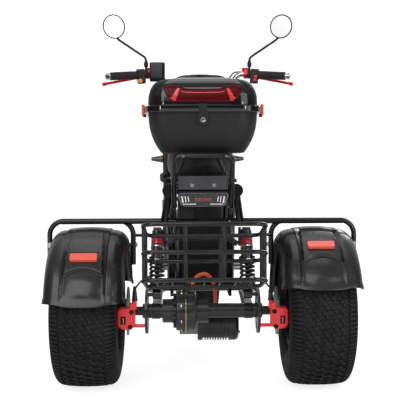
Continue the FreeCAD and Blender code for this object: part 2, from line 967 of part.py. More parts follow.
def seat_loop():
    """Loop under the seat, with two struts down to the foot rails."""
    rear = seat_rail_bend_y - frame_bend
    parts = [bent_tube([vec(-rail_x, rear, seat_rail_z), vec(-rail_x, seat_loop_front_y, seat_rail_z),
                        vec(rail_x, seat_loop_front_y, seat_rail_z), vec(rail_x, rear, seat_rail_z)],
                       seat_loop_radius, frame_bend)]
    for side in (-1, 1):
        x = side * rail_x
        parts.append(rod(vec(x, seat_strut_y - frame_bend, seat_rail_z), vec(x, seat_strut_y, rail_z), brace_radius))
    return parts


def frame_post():
    """Strut from the seat rail's end down to the guard rail's cross bar."""
    top = vec(rail_x, seat_rail_end_y + rail_radius * 2, seat_rail_z)
    low = vec(post_low_x, crossbar_y, hoop_top)
    post = rod(top, low, brace_radius)
    return post.cut(rod(vec(0, low.y, low.z), vec(post_low_x * 2, low.y, low.z), crossbar_radius + hair))


def frame_arch():
    """Arch across the frame that holds the shocks' upper eyes."""
    points = [
        vec(-arch_x, shock_top_y, arch_low_z),
        vec(-arch_top_x, shock_top_y, arch_z),
        vec(arch_top_x, shock_top_y, arch_z),
        vec(arch_x, shock_top_y, arch_low_z),
    ]
    parts = [bent_tube(points, arch_radius, arch_bend)]
    for side in (-1, 1):
        foot = vec(side * arch_top_x, shock_top_y, arch_z)
        parts.append(rod(foot, vec(side * rail_x, shock_top_y, seat_rail_z), brace_radius))
        eye = vec(0, shock_top_y, shock_top_z)
        inner = side * (shock_x - shock_body - hair - shock_ear)
        outer = side * (shock_x - shock_body - hair)
        parts.append(rod(eye + vec(inner, 0, 0), eye + vec(outer, 0, 0), shock_eye))
        end = side * (shock_x + shock_eye_width / 2)
        parts.append(rod(eye + vec(inner, 0, 0), eye + vec(end, 0, 0), shock_pin))
        ear = box(min(inner, outer), max(inner, outer), shock_top_y - shock_eye, shock_top_y + shock_eye,
                  arch_low_z - arch_radius / 2, shock_top_z)
        parts.append(ear)
    return parts


def main_frame():
    side_tube, cap = frame_side()
    parts = both_sides(side_tube) + both_sides(cap) + both_sides(frame_post()) + frame_arch() + seat_loop()
    for y, z in ((rail_front_y - frame_bend, rail_z), (rail_rear_y + frame_bend, rail_z),
                 (seat_rail_end_y + rail_radius * 2, seat_rail_z), (battery_front_y - frame_bend, rail_z)):
        parts.append(rod(vec(-rail_x, y, z), vec(rail_x, y, z), brace_radius))
    for side in (-1, 1):
        x0 = side * rail_x - pivot_plate / 2
        plate = box(x0, x0 + pivot_plate, pivot_y - pivot_plate_height / 2, pivot_y + pivot_plate_length,
                    pivot_z - pivot_plate_height / 2, pivot_z + pivot_plate_height / 2)
        parts.append(plate)
    head_start = steer_point(0, 0, head_low)
    head_end = steer_point(0, 0, head_high)
    parts.append(rod(head_start, head_end, head_radius))
    body = fuse(parts)
    bore = rod(steer_point(0, 0, head_low - over), steer_point(0, 0, head_high + over), steerer_radius + run_fit)
    pivot = rod(vec(-pivot_half, pivot_y, pivot_z), vec(pivot_half, pivot_y, pivot_z), pivot_radius + run_fit)
    return body.cut([bore, pivot])


def fork():
    """Steerer, two clamps, stanchions, lower legs and the front axle."""
    low = head_low - head_gap
    high = head_high + head_gap
    parts = [rod(steer_point(0, 0, low - lap), steer_point(0, 0, high + lap), steerer_radius)]
    for bottom in (low - clamp_thick, high):
        for side in (-1, 1):
            at = steer_point(side * leg_x, fork_offset, bottom)
            parts.append(rod(at, at + steer_up * clamp_thick, clamp_round))
        parts.append(clamp_bridge(bottom))
    for side in (-1, 1):
        x = side * leg_x
        parts.append(rod(steer_point(x, fork_offset, leg_low), steer_point(x, fork_offset, leg_high), leg_radius))
        parts.append(rod(steer_point(x, fork_offset, leg_high - lap),
                         steer_point(x, fork_offset, stanchion_top), stanchion_radius))
    parts.append(rod(front_centre - vec(leg_x, 0, 0), front_centre + vec(leg_x, 0, 0), front_axle_radius))
    for side in (-1, 1):
        outer = front_centre + vec(side * leg_x, 0, 0)
        inner = front_centre + vec(side * (front_hub_half + disc_thickness * 2 + hair), 0, 0)
        parts.append(rod(inner, outer, front_axle_radius + lap * 2))
    return fuse(parts)


def clamp_bridge(bottom):
    """The bridge of one clamp: a slab between the legs and back to the steerer."""
    slab = box(-leg_x, leg_x, 0, fork_offset + clamp_round, 0, clamp_thick)
    neck = Part.makeCylinder(clamp_round, clamp_thick)
    body = slab.fuse(neck)
    place = FreeCAD.Placement(steer_point(0, 0, bottom), FreeCAD.Rotation(vec(1, 0, 0), rake_angle))
    body.Placement = place
    return body


def bar_points(side):
    middle = steer_point(0, bar_forward, bar_up)
    return [
        middle,
        middle + vec(side * bar_knee_x, 0, 0),
        middle + vec(side * bar_rise_x, -bar_back, bar_rise),
        middle + vec(side * bar_end_x, -bar_end_back, bar_end_rise),
    ]


def handlebar():
    """Bar with its risers and its silver end plugs."""
    right = bar_points(1)
    left = bar_points(-1)
    points = left[:0:-1] + right[1:]
    parts = [bent_tube(points, bar_radius, bar_bend)]
    top = head_high + head_gap + clamp_thick
    for side in (-1, 1):
        foot = steer_point(side * riser_x, bar_forward, top - lap)
        parts.append(rod(foot, steer_point(side * riser_x, bar_forward, bar_up + bar_radius), riser_radius))
        rise, end = bar_points(side)[2:]
        outwards = (end - rise).normalize()
        parts.append(rod(end - outwards * (grip_end - hair), end + outwards * bar_plug, bar_plug_radius))
    body = fuse(parts)
    lift = FreeCAD.Vector(steer_up) * (lap + hair)
    body.translate(lift)
    return body


def along_grip(side, reach):
    """Point on the grip's line, counted inwards from the bar's end, and its direction inwards."""
    points = bar_points(side)
    inwards = (points[-2] - points[-1]).normalize()
    lift = FreeCAD.Vector(steer_up) * (lap + hair)
    return points[-1] + lift + inwards * reach, inwards


def sleeve(side, start, end, radius):
    """A ring on the bar's grip run."""
    a, inwards = along_grip(side, start)
    b, inwards = along_grip(side, end)
    ring = rod(a, b, radius)
    return ring.cut(rod(a - inwards * over, b + inwards * over, bar_radius + hair))


def grips():
    parts = []
    for side in (-1, 1):
        parts.append(sleeve(side, grip_end, grip_end + grip_length, grip_radius))
    return Part.makeCompound(parts)


def switch_housings():
    """A ring on the bar with a block of switches hanging behind it, one on each side."""
    parts = []
    for side in (-1, 1):
        start = grip_end + grip_length + hair
        ring = sleeve(side, start, start + housing_length, housing_radius)
        middle, inwards = along_grip(side, start + housing_length / 2)
        block = soft_box(-housing_length / 2, housing_length / 2, -housing_block_rear, housing_block_front,
                         -housing_block_drop, 0, grip_end / 2)
        block.Placement = FreeCAD.Placement(middle, FreeCAD.Rotation(vec(1, 0, 0), inwards * -side))
        bar = rod(middle - inwards * housing_length, middle + inwards * housing_length, bar_radius + hair)
        parts.append(ring.fuse(block).cut(bar))
    return Part.makeCompound(parts)


def brake_levers():
    """Perch, fluid cup and blade of each brake lever."""
    parts = []
    for side in (-1, 1):
        start = grip_end + grip_length + housing_length + mirror_clamp + 3 * hair
        perch = sleeve(side, start, start + perch_length, perch_radius)
        middle, inwards = along_grip(side, start + perch_length / 2)
        arm_end = middle + vec(0, lever_reach, 0)
        arm = rod(middle + vec(0, bar_radius + lap, 0), arm_end, lever_arm)
        tip, inwards = along_grip(side, start + perch_length / 2 - lever_length)
        blade_start = arm_end - vec(0, lever_arm / 2, 0)
        blade_end = tip + vec(0, lever_reach - lever_arm, -lever_drop)
        blade = rod(blade_start, blade_end, lever_blade)
        along = (blade_end - blade_start).normalize() * lever_ball
        ball = rod(blade_end - along, blade_end + along, lever_ball)
        cup = rod(middle + vec(0, fluid_cup_reach, 0), middle + vec(0, fluid_cup_reach, fluid_cup_height), fluid_cup)
        parts.append(fuse([perch, arm, blade, ball, cup]))
    return Part.makeCompound(parts)


def mirror(side):
    """Clamp, stem and round head of one mirror."""
    start = grip_end + grip_length + housing_length + 2 * hair
    clamp = sleeve(side, start, start + mirror_clamp, perch_radius)
    foot, inwards = along_grip(side, start + mirror_clamp / 2)
    base = foot + vec(0, 0, mirror_base_rise)
    head = foot + vec(side * mirror_out, -mirror_back, mirror_rise)
    knee = head - vec(side * mirror_knee_in, 0, mirror_knee_drop)
    stem = bent_tube([foot + vec(0, 0, bar_radius + lap), base, knee, head], mirror_stem, mirror_bend)
    turn = math.radians(mirror_angle)
    face = vec(-side * math.sin(turn), -math.cos(turn), 0)
    shell = taper(head + face * mirror_depth / 2, head - face * mirror_depth / 2, mirror_radius, mirror_back_radius)
    return fuse([clamp, stem, shell])


def headlight():
    """Round lamp on a bracket between the fork clamps."""
    centre = steer_point(0, lamp_forward, lamp_up)
    back = centre - vec(0, lamp_depth / 2, 0)
    front = centre + vec(0, lamp_depth / 2, 0)
    shell = taper(back, front, lamp_back_radius, lamp_radius)
    rim = rod(front - vec(0, lamp_rim_width, 0), front, lamp_radius + lamp_rim)
    bracket = box(-lamp_bracket_half, lamp_bracket_half, 0, lamp_bracket, 0,
                  head_high - head_low + 2 * (head_gap + clamp_thick))
    bracket.Placement = FreeCAD.Placement(steer_point(0, fork_offset + clamp_round + hair,
                                                      head_low - head_gap - clamp_thick),
                                          FreeCAD.Rotation(vec(1, 0, 0), rake_angle))
    neck_foot = steer_point(0, fork_offset + clamp_round + hair + lamp_bracket / 2, lamp_up)
    neck = rod(neck_foot, centre, riser_radius)
    return fuse([shell, rim, neck, bracket])


def front_signals():
    """Leaf-shaped indicators on stems from the stanchions."""
    parts = []
    for side in (-1, 1):
        at = steer_point(side * (leg_x + stanchion_radius + hair), fork_offset, signal_up)
        stem_end = at + vec(side * (signal_in - stanchion_radius) / 2, 0, 0)
        stem = rod(at, stem_end, signal_stem)
        leaf = taper(at + vec(side * signal_stem, 0, 0), vec(side * signal_out, at.y, at.z), signal_height / 2,
                     signal_stem)
        parts.append(fuse([stem, leaf]))
    return Part.makeCompound(parts)


def front_caliper():
    """Block astride the front disc, on a plate that meets the left leg."""
    x = -(front_disc_x - disc_thickness)
    foot = steer_point(x, fork_offset - front_disc_radius - caliper_lug, caliper_half_height)
    low = -caliper_half_height / 2
    high = caliper_half_height / 2
    block = box(-caliper_slot, caliper_slot, -caliper_lug * 2, caliper_lug * 2, low, high)
    plate = box(-caliper_slot * 2, -caliper_slot, -caliper_lug * 2, front_disc_radius + caliper_lug, low, high)
    body = block.fuse(plate)
    body.Placement = FreeCAD.Placement(foot, FreeCAD.Rotation(vec(1, 0, 0), rake_angle))
    middle = vec(x, wheelbase, tyre_radius)
    half = vec(caliper_slot / 2, 0, 0)
    disc = rod(middle - half, middle + half, front_disc_radius + lap * 2)
    leg = rod(steer_point(-leg_x, fork_offset, leg_low), steer_point(-leg_x, fork_offset, leg_high),
              leg_radius + hair)
    return largest(body.cut([disc, leg]))


def fender_outline(width, round_radius, skirt):
    """Section of a fender as (across, radius): crowned top, rounded shoulders and side skirts."""
    top = tyre_radius + fender_gap
    half = width / 2
    flat = half - round_radius
    inner = half - fender_wall
    inner_round = round_radius - fender_wall
    turn = top - round_radius
    low = top - skirt
    out_x = half - round_radius * corner_in
    out_z = top - round_radius * corner_in
    in_x = inner - inner_round * corner_in
    in_z = top - fender_wall - inner_round * corner_in
    return [
        line((-half, low), (-half, turn)),
        arc((-half, turn), (-out_x, out_z), (-flat, top)),
        arc((-flat, top), (0, top + fender_crown), (flat, top)),
        arc((flat, top), (out_x, out_z), (half, turn)),
        line((half, turn), (half, low)),
        line((half, low), (inner, low)),
        line((inner, low), (inner, turn)),
        arc((inner, turn), (in_x, in_z), (flat, top - fender_wall)),
        arc((flat, top - fender_wall), (0, top + fender_crown - fender_wall), (-flat, top - fender_wall)),
        arc((-flat, top - fender_wall), (-in_x, in_z), (-inner, turn)),
        line((-inner, turn), (-inner, low)),
        line((-inner, low), (-half, low)),
    ]


def fender_panel_strip():
    """Raised centre strip with hollowed ends."""
    top = tyre_radius + fender_gap
    half = fender_panel_width / 2
    edge = half - fender_panel_edge
    rise = fender_crown + fender_panel
    outline = [
        line((-half, top), (half, top)),
        line((half, top), (edge, top + rise)),
        line((edge, top + rise), (-edge, top + rise)),
        line((-edge, top + rise), (-half, top)),
    ]
    far_angle = half_turn_angle - panel_low_angle
    strip = turned_ring(outline, panel_low_angle, far_angle - panel_low_angle)
    for angle, sign in ((panel_low_angle, -1), (far_angle, 1)):
        turn = math.radians(angle)
        tangent = vec(0, -math.sin(turn), math.cos(turn))
        out = vec(0, math.cos(turn), math.sin(turn))
        centre = out * (top - fender_panel) + tangent * (sign * (fender_panel_arc - fender_panel_hollow))
        strip = strip.cut(rod(centre, centre + out * (rise + fender_panel + fender_panel_hollow), fender_panel_arc))
    return strip


def rear_fender(side):
    turn = 0.0 if side < 0 else -right_fender_angle
    shell = turned_ring(fender_outline(fender_width, fender_round, fender_skirt), fender_low_angle,
                        half_turn_angle - 2 * fender_low_angle)
    body = fuse([shell, fender_panel_strip()])
    body.rotate(vec(0, 0, 0), vec(1, 0, 0), turn)
    return placed(body, side * fender_x, 0, tyre_radius)


def rear_reflector(side):
    turn = 0.0 if side < 0 else -right_fender_angle
    base = tyre_radius + fender_gap + fender_crown + fender_panel + hair
    block = box(-reflector_width / 2, reflector_width / 2, -reflector_height / 2, reflector_height / 2,
                base, base + reflector_depth)
    edges = [e for e in block.Edges if abs(e.tangentAt(e.FirstParameter).z) > along_share]
    block = block.makeFillet(reflector_round, edges)
    block.rotate(vec(0, 0, 0), vec(1, 0, 0), quarter_turn_angle - reflector_angle + turn)
    return placed(block, side * fender_x, 0, tyre_radius)


def front_fender():
    """Front fender with side lugs that meet the fork legs."""
    shell = turned_ring(fender_outline(front_fender_width, front_fender_round, front_fender_skirt),
                        front_fender_start_angle, front_fender_end_angle - front_fender_start_angle)
    parts = [placed(shell, 0, wheelbase, tyre_radius)]
    level = tyre_radius + fender_gap - (front_fender_round + front_fender_skirt) / 2
    for side in (-1, 1):
        at = steer_point(0, fork_offset, level)
        start = at + vec(side * (front_fender_width - fender_wall) / 2, 0, 0)
        parts.append(rod(start, at + vec(side * (leg_x - leg_radius - hair), 0, 0), hoop_bolt))
    return fuse(parts)


def guard_rail():
    """A hoop over each rear fender, joined by a cross bar behind their tops."""
    hoop = bent_tube([vec(hoop_in, 0, hoop_low), vec(hoop_in, 0, hoop_top), vec(hoop_out, 0, hoop_top),
                      vec(hoop_out, 0, hoop_low)], hoop_radius, hoop_bend)
    bar = rod(vec(-crossbar_half, crossbar_y, hoop_top), vec(crossbar_half, crossbar_y, hoop_top), crossbar_radius)
    parts = [bar] + both_sides(hoop)
    level = 2 * tyre_radius + fender_gap - (fender_round + fender_skirt) / 2
    inner_wall = fender_x - fender_width / 2
    outer_wall = fender_x + fender_width / 2
    for side in (-1, 1):
        parts.append(rod(vec(side * hoop_in, 0, level), vec(side * (inner_wall - hair), 0, level), hoop_bolt))
        parts.append(rod(vec(side * hoop_out, 0, level), vec(side * (outer_wall + hair), 0, level), hoop_bolt))
    return fuse(parts)


def basket_ring(drop, radius):
    rear = vec(0, basket_rear_y, basket_rear_z - drop)
    front = vec(0, basket_front_y, basket_front_z - drop)
    corners = [rear + vec(-basket_half, 0, 0), rear + vec(basket_half, 0, 0),
               front + vec(basket_half, 0, 0), front + vec(-basket_half, 0, 0)]
    wire = closed_round_wire(corners, basket_bend)
    ring = Part.Wire([Part.makeCircle(radius, wire.Edges[0].valueAt(wire.Edges[0].FirstParameter),
                                      wire.Edges[0].tangentAt(wire.Edges[0].FirstParameter))])
    return wire.makePipeShell([ring], True, False)


def closed_round_wire(corners, bend):
    edges = []
    count = len(corners)
    turns = []
    for i in range(count):
        before = corners[i - 1]
        corner = corners[i]
        after = corners[(i + 1) % count]
        back = (before - corner).normalize()
        ahead = (after - corner).normalize()
        half = back.getAngle(ahead) / 2
        reach = bend / math.tan(half)
        centre = corner + (back + ahead).normalize() * (bend / math.sin(half))
        middle = centre + (corner - centre).normalize() * bend
        turns.append((corner + back * reach, middle, corner + ahead * reach))
    for i in range(count):
        enter, middle, leave = turns[i]
        edges.append(Part.Arc(enter, middle, leave).toShape())
        edges.append(Part.LineSegment(leave, turns[(i + 1) % count][0]).toShape())
    return Part.Wire(edges)


def basket():
    """Three rounded rings, uprights, floor rods, the hooks to the cross bar and two struts."""
    rings = [basket_ring(0, basket_rod), basket_ring(basket_drop / 2, basket_rod),
             basket_ring(basket_drop, basket_rod)]
    down = vec(0, 0, -basket_drop)
    parts = list(rings)
    for y, z in ((basket_rear_y, basket_rear_z), (basket_front_y, basket_front_z)):
        for x in (-basket_post_x, basket_post_x):
            parts.append(rod(vec(x, y, z), vec(x, y, z) + down, basket_rod - run_fit))
    for side in (-1, 1):
        for share in basket_side_shares:
            top = vec(side * basket_half, basket_rear_y + share * (basket_front_y - basket_rear_y),
                      basket_rear_z + share * (basket_front_z - basket_rear_z))
            parts.append(rod(top, top + down, basket_rod - run_fit))
    for i in range(basket_floor_rods):
        x = (i - (basket_floor_rods - 1) / 2) * (2 * (basket_half - basket_bend)) / (basket_floor_rods - 1)
        parts.append(rod(vec(x, basket_rear_y, basket_rear_z - basket_drop),
                         vec(x, basket_front_y, basket_front_z - basket_drop), basket_thin))
    for side in (-1, 1):
        start = vec(side * basket_hook_x, basket_front_y, basket_front_z)
        end = vec(side * basket_hook_x, crossbar_y, hoop_top)
        way = (end - start).normalize()
        parts.append(rod(start, end - way * (crossbar_radius + hair), basket_hook_radius))
    return Part.makeCompound([fuse(parts), basket_strut_rod(-1), basket_strut_rod(1)])


def basket_strut_rod(side):
    """Strut from a front corner of the basket's top ring to the guard rail's inner leg."""
    corner = basket_bend * corner_in
    slope = (basket_rear_z - basket_front_z) / (basket_rear_y - basket_front_y)
    start = vec(side * (basket_half - corner), basket_front_y - corner, basket_front_z - corner * slope)
    end = vec(side * hoop_in, 0, hoop_top - basket_strut_drop)
    leg = rod(vec(side * hoop_in, 0, hoop_low), vec(side * hoop_in, 0, hoop_top), hoop_radius + hair)
    return largest(rod(start, end, basket_strut).cut([leg, basket_ring(0, basket_rod + hair)]))


def rack_leg_y(z):
    """Where the rack's sloping legs are at a height."""
    return rack_y + (rack_low_y - rack_y) * (rack_z - z) / (rack_z - rack_low_z)


def rear_rack():
    """Loop that carries the top case, with its forward rails, plate and two bars for the lamp and plate."""
    loop = bent_tube([vec(-rack_x, rack_foot_y, rack_low_z), vec(-rack_x, rack_low_y, rack_low_z),
                      vec(-rack_x, rack_y, rack_z), vec(rack_x, rack_y, rack_z),
                      vec(rack_x, rack_low_y, rack_low_z), vec(rack_x, rack_foot_y, rack_low_z)],
                     rack_radius, rack_bend)
    parts = [loop]
    feet = []
    for side in (-1, 1):
        parts.append(rod(vec(side * rack_rail_x, rack_y, rack_z), vec(side * rack_rail_x, rack_front_y, rack_z),
                         rack_rail_radius))
        foot = vec(side * rack_rail_x, rack_front_y - rack_bend, rack_z)
        low = vec(side * rail_x, rack_front_y - rack_bend, seat_rail_z)
        feet.append(rod(foot, low, rack_bar))
        rear_foot = vec(side * rack_x, rack_foot_y - rack_radius * 2, rack_low_z)
        feet.append(rod(rear_foot, rear_foot + vec(0, 0, seat_rail_z - rack_low_z), rack_rail_radius))
    for z in (plate_panel_low / 2 + plate_panel_high / 2, tail_low / 2 + tail_high / 2):
        y = rack_leg_y(z)
        parts.append(rod(vec(-rack_x, y, z), vec(rack_x, y, z), rack_bar))
    top = rack_z + rack_radius
    parts.append(box(-rack_plate_half, rack_plate_half, rack_y, rack_front_y, top - lap, top - lap + rack_plate))
    body = fuse(parts + feet)
    rails = []
    for side in (-1, 1):
        rails.append(rod(vec(side * rail_x, seat_rail_end_y - cap_height, seat_rail_z),
                         vec(side * rail_x, seat_rail_bend_y, seat_rail_z), rail_radius + hair))
    body = body.cut(rails)
    return body.Solids[0] if len(body.Solids) == 1 else largest(body)


def largest(shape):
    """The biggest solid of a cut, without the slivers that lie beyond it."""
    return sorted(shape.Solids, key=lambda solid: solid.Volume)[-1]


def plate_panel():
    """Blank plate holder with two bolt slots, on the rack's upper bar."""
    front = rack_leg_y(plate_panel_low / 2 + plate_panel_high / 2) - rack_bar - hair
    rear = front - plate_panel_thick
    panel = box(-plate_panel_half, plate_panel_half, rear, front, plate_panel_low, plate_panel_high)
    slots = []
    for side in (-1, 1):
        x = side * plate_slot_x
        z = plate_panel_low + plate_slot_width * 2
        start = rear - over
        end = front + over
        reach = (plate_slot_length - plate_slot_width) / 2
        slots.append(box(x - reach, x + reach, start, end, z - plate_slot_width / 2, z + plate_slot_width / 2))
        slots.append(rod(vec(x - reach, start, z), vec(x - reach, end, z), plate_slot_width / 2))
        slots.append(rod(vec(x + reach, start, z), vec(x + reach, end, z), plate_slot_width / 2))
    return panel.cut(slots)


def tail_light():
    """Lamp body on the rack's lower bar."""
    front = rack_leg_y(tail_low / 2 + tail_high / 2) - rack_bar - hair
    block = box(-tail_half, tail_half, front - tail_depth, front, tail_low, tail_high)
    edges = [e for e in block.Edges if abs(e.tangentAt(e.FirstParameter).y) > along_share]
    return block.makeFillet(tail_round, edges)


def case_section(half, rear, front, z, radius):
    """A rectangle with round corners, at a height."""
    solid = upright_round_box(-half, half, rear, front, z, z + over, radius)
    faces = [f for f in solid.Faces if abs(f.CenterOfMass.z - z) < run_fit]
    return faces[0].OuterWire


def case_ring(inset, z):
    """The case's outline drawn in by an inset, at a height."""
    return case_section(case_half - inset, case_rear_y + inset, case_front_y - inset, z,
                        case_round - inset * case_corner_share)


def base_form(grow, beyond):
    """The base's volume grown by an offset, and carried beyond its rim."""
    low = case_low_z - grow
    rings = []
    for down, inward in reversed(base_shares):
        rings.append(case_ring(inward * case_taper - grow, case_rim_z - down * (case_rim_z - low)))
    if beyond:
        rings.append(case_ring(-grow, case_rim_z + beyond))
    return Part.makeLoft(rings, True, True)


def case_base():
    """Bowl-shaped lower half of the top case, open at the rim, with its lock and its hinge's ears."""
    inside = base_form(-case_wall, over)
    lock_at = vec(0, case_rear_y - lock_depth, lock_z)
    lock = rod(lock_at, lock_at + vec(0, lock_depth + case_wall, 0), lock_radius).cut(inside)
    parts = [base_form(0, 0).cut(inside), lock]
    reach = hinge_length / 2 + hinge_ear
    for x in (-hinge_x, hinge_x):
        parts.append(rod(vec(x - reach, hinge_y, hinge_z), vec(x + reach, hinge_y, hinge_z), hinge_pin))
        for side in (-1, 1):
            near = x + side * (hinge_length / 2 + hair)
            far = x + side * reach
            parts.append(rod(vec(near, hinge_y, hinge_z), vec(far, hinge_y, hinge_z), hinge_radius))
            parts.append(box(min(near, far), max(near, far), case_front_y - lap, hinge_y,
                             hinge_z - hinge_radius, hinge_z))
    return fuse(parts)


def lid_form(grow, beyond):
    """The lid's volume without its band, grown by an offset and carried below its rim."""
    low = case_rim_z + lid_gap
    step = low + band_height
    top = case_top_z + grow
    rings = [case_ring(-grow, low - beyond)]
    for up, inward in lid_shares:
        rings.append(case_ring(inward * lid_inset - grow, step + up * (top - step)))
    return Part.makeLoft(rings, True, True)


def lid_band():
    """The band round the lid's rim."""
    low = case_rim_z + lid_gap
    rings = [case_ring(-band_reach, low), case_ring(-band_reach, low + band_height - band_slope),
             case_ring(0, low + band_height)]
    return Part.makeLoft(rings, True, True)


def case_lid():
    """Domed upper half, open below, with the knuckles of its hinge."""
    inside = lid_form(-case_wall, over)
    shell = lid_form(0, 0).fuse(lid_band()).cut(inside)
    parts = [shell]
    bores = []
    for x in (-hinge_x, hinge_x):
        start = vec(x - hinge_length / 2, hinge_y, hinge_z)
        end = vec(x + hinge_length / 2, hinge_y, hinge_z)
        parts.append(rod(start, end, hinge_radius))
        parts.append(box(start.x, end.x, hinge_y - hinge_pin, hinge_y + hinge_pin, hinge_z,
                         case_rim_z + lid_gap + lap))
        reach = vec(over, 0, 0)
        bores.append(rod(start - reach, end + reach, hinge_pin + run_fit))
    return fuse(parts).cut(bores)


def lid_reflector():
    """Lens across the back of the lid, and a side marker at each end of the band."""
    right = [vec(x, 0, lens_low + z) for x, z in lens_outline]
    left = [vec(-x, 0, lens_low + z) for x, z in reversed(lens_outline)]
    face = Part.Face(Part.makePolygon(right + left + right[:1]))
    face.translate(vec(0, case_rear_y - lens_thick - over, 0))
    slab = face.extrude(vec(0, case_round, 0))
    lens = largest(slab.common(lid_form(lens_thick, 0)).cut(lid_form(hair, 0)))
    parts = [lens]
    side_x = case_half + band_reach + hair
    rear = case_rear_y - band_reach + case_round + marker_rear
    marker = soft_box(side_x, side_x + marker_depth, rear - marker_length, rear, case_rim_z - marker_drop,
                      case_rim_z + marker_rise, lap)
    return Part.makeCompound(parts + both_sides(marker))


def backrest_pad():
    """Pad seated on the lid's sloping front."""
    pad = soft_box(-pad_half, pad_half, case_front_y - pad_lap, case_front_y + pad_thick, pad_low, pad_high,
                   pad_round)
    return largest(pad.cut(lid_form(hair, 0)))


def seat():
    """Cushion that rises towards its back, on its pan."""
    outline = [
        vec(0, seat_rear_y, seat_low_z),
        vec(0, seat_rear_y, seat_high_z + seat_back_rise),
        vec(0, seat_rear_y + seat_back_flat, seat_high_z + seat_back_rise),
        vec(0, seat_rear_y + seat_back_slope, seat_high_z),
        vec(0, seat_front_y, seat_high_z),
        vec(0, seat_front_y, seat_low_z),
        vec(0, seat_rear_y, seat_low_z),
    ]
    face = Part.Face(Part.makePolygon(outline))
    body = face.extrude(vec(2 * seat_half, 0, 0))
    body.translate(vec(-seat_half, 0, 0))
    return body.makeFillet(seat_round, body.Edges)


def seat_base():
    """Pan under the cushion, seated on the two seat rails."""
    low = seat_rail_z + rail_radius + hair
    return box(-seat_pan_half, seat_pan_half, seat_rear_y + seat_pan, seat_front_y - seat_pan, low, seat_low_z - hair)


def battery_box():
    low = rail_z + brace_radius + hair
    return upright_round_box(-battery_half, battery_half, battery_rear_y, battery_front_y, low, battery_high_z,
                             battery_round)


def deck_plate():
    """Foot deck with turned-down sides and long ribs."""
    low = rail_z + rail_radius + hair
    top = low + deck_thick
    parts = [box(-deck_half, deck_half, deck_rear_y, deck_front_y, low, top)]
    for side in (-1, 1):
        edge = side * deck_half
        inner = edge - side * deck_thick
        parts.append(box(min(edge, inner), max(edge, inner), deck_rear_y, deck_front_y, low - deck_lip, top))
    pitch = 2 * deck_half / (deck_ribs + 1)
    for i in range(deck_ribs):
        x = -deck_half + pitch * (i + 1)
        parts.append(box(x - deck_rib_width / 2, x + deck_rib_width / 2, deck_rear_y + deck_lip,
                         deck_front_y - deck_lip, top - lap, top + deck_rib_height))
    return fuse(parts)


def junction_box():
    """Small box that stands on the cross bar."""
    low = hoop_top + crossbar_radius + hair
    front = crossbar_y + crossbar_radius
    return upright_round_box(box_left, box_right, front - box_length, front, low, low + box_height, deck_thick)


def display():
    """Panel on a stalk from the left rise of the handlebar."""
    lift = FreeCAD.Vector(steer_up) * (lap + hair)
    knee, rise = bar_points(-1)[1:3]
    way = (rise - knee).normalize()
    at = knee + (rise - knee) * display_share + lift
    clamp = rod(at - way * display_round, at + way * display_round, perch_radius)
    middle = at + vec(-display_out, -display_back, display_rise)
    stalk = rod(at, at - vec(0, display_back, 0), bar_radius / 2)
    block = soft_box(-display_width / 2, display_width / 2, -display_depth, 0, -display_height / 2,
                     display_height / 2, display_depth / 3)
    block = placed(block, middle.x, middle.y + lap, middle.z)
    bar = rod(at - way * display_round * 2, at + way * display_round * 2, bar_radius + hair)
    return largest(fuse([clamp, stalk, block]).cut(bar))


def front_brake_hose():
    """From the right lever's cup, ahead of the clamps and behind the left leg, down to the front caliper."""
    start = grip_end + grip_length + housing_length + mirror_clamp + 3 * hair
    middle, inwards = along_grip(1, start + perch_length / 2)
    leave = middle + vec(-fluid_cup - hair, fluid_cup_reach, fluid_cup_height / 2)
    points = [leave, leave - vec(hose_lead, 0, 0)]
    points += [steer_point(*p) for p in front_hose_points]
    x, ahead, up = front_hose_points[-1]
    points.append(steer_point(x, ahead, caliper_half_height + caliper_half_height / 2 + hair))
    return cord_tube(points, hose_radius)


def rear_brake_hose():
    """The right rear hose, from the caliper's top to the outside of the seat pillar."""
    top = tyre_radius + caliper_half_height + hair
    points = [vec(rear_hose_x, rear_hose_y, top), vec(rear_hose_x, rear_hose_y, top + rear_hose_rise)]
    points += [vec(x, y, tyre_radius + z) for x, y, z in rear_hose_points]
    level = tyre_radius + rear_hose_end_rise
    lean = (rail_rear_y - seat_rail_bend_y) / (seat_rail_z - rail_z)
    end_y = rail_rear_y - (level - rail_z) * lean
    points += [vec(rear_hose_end_x, end_y, level), vec(rail_x + rail_radius + hair, end_y, level)]
    return cord_tube(points, hose_radius)


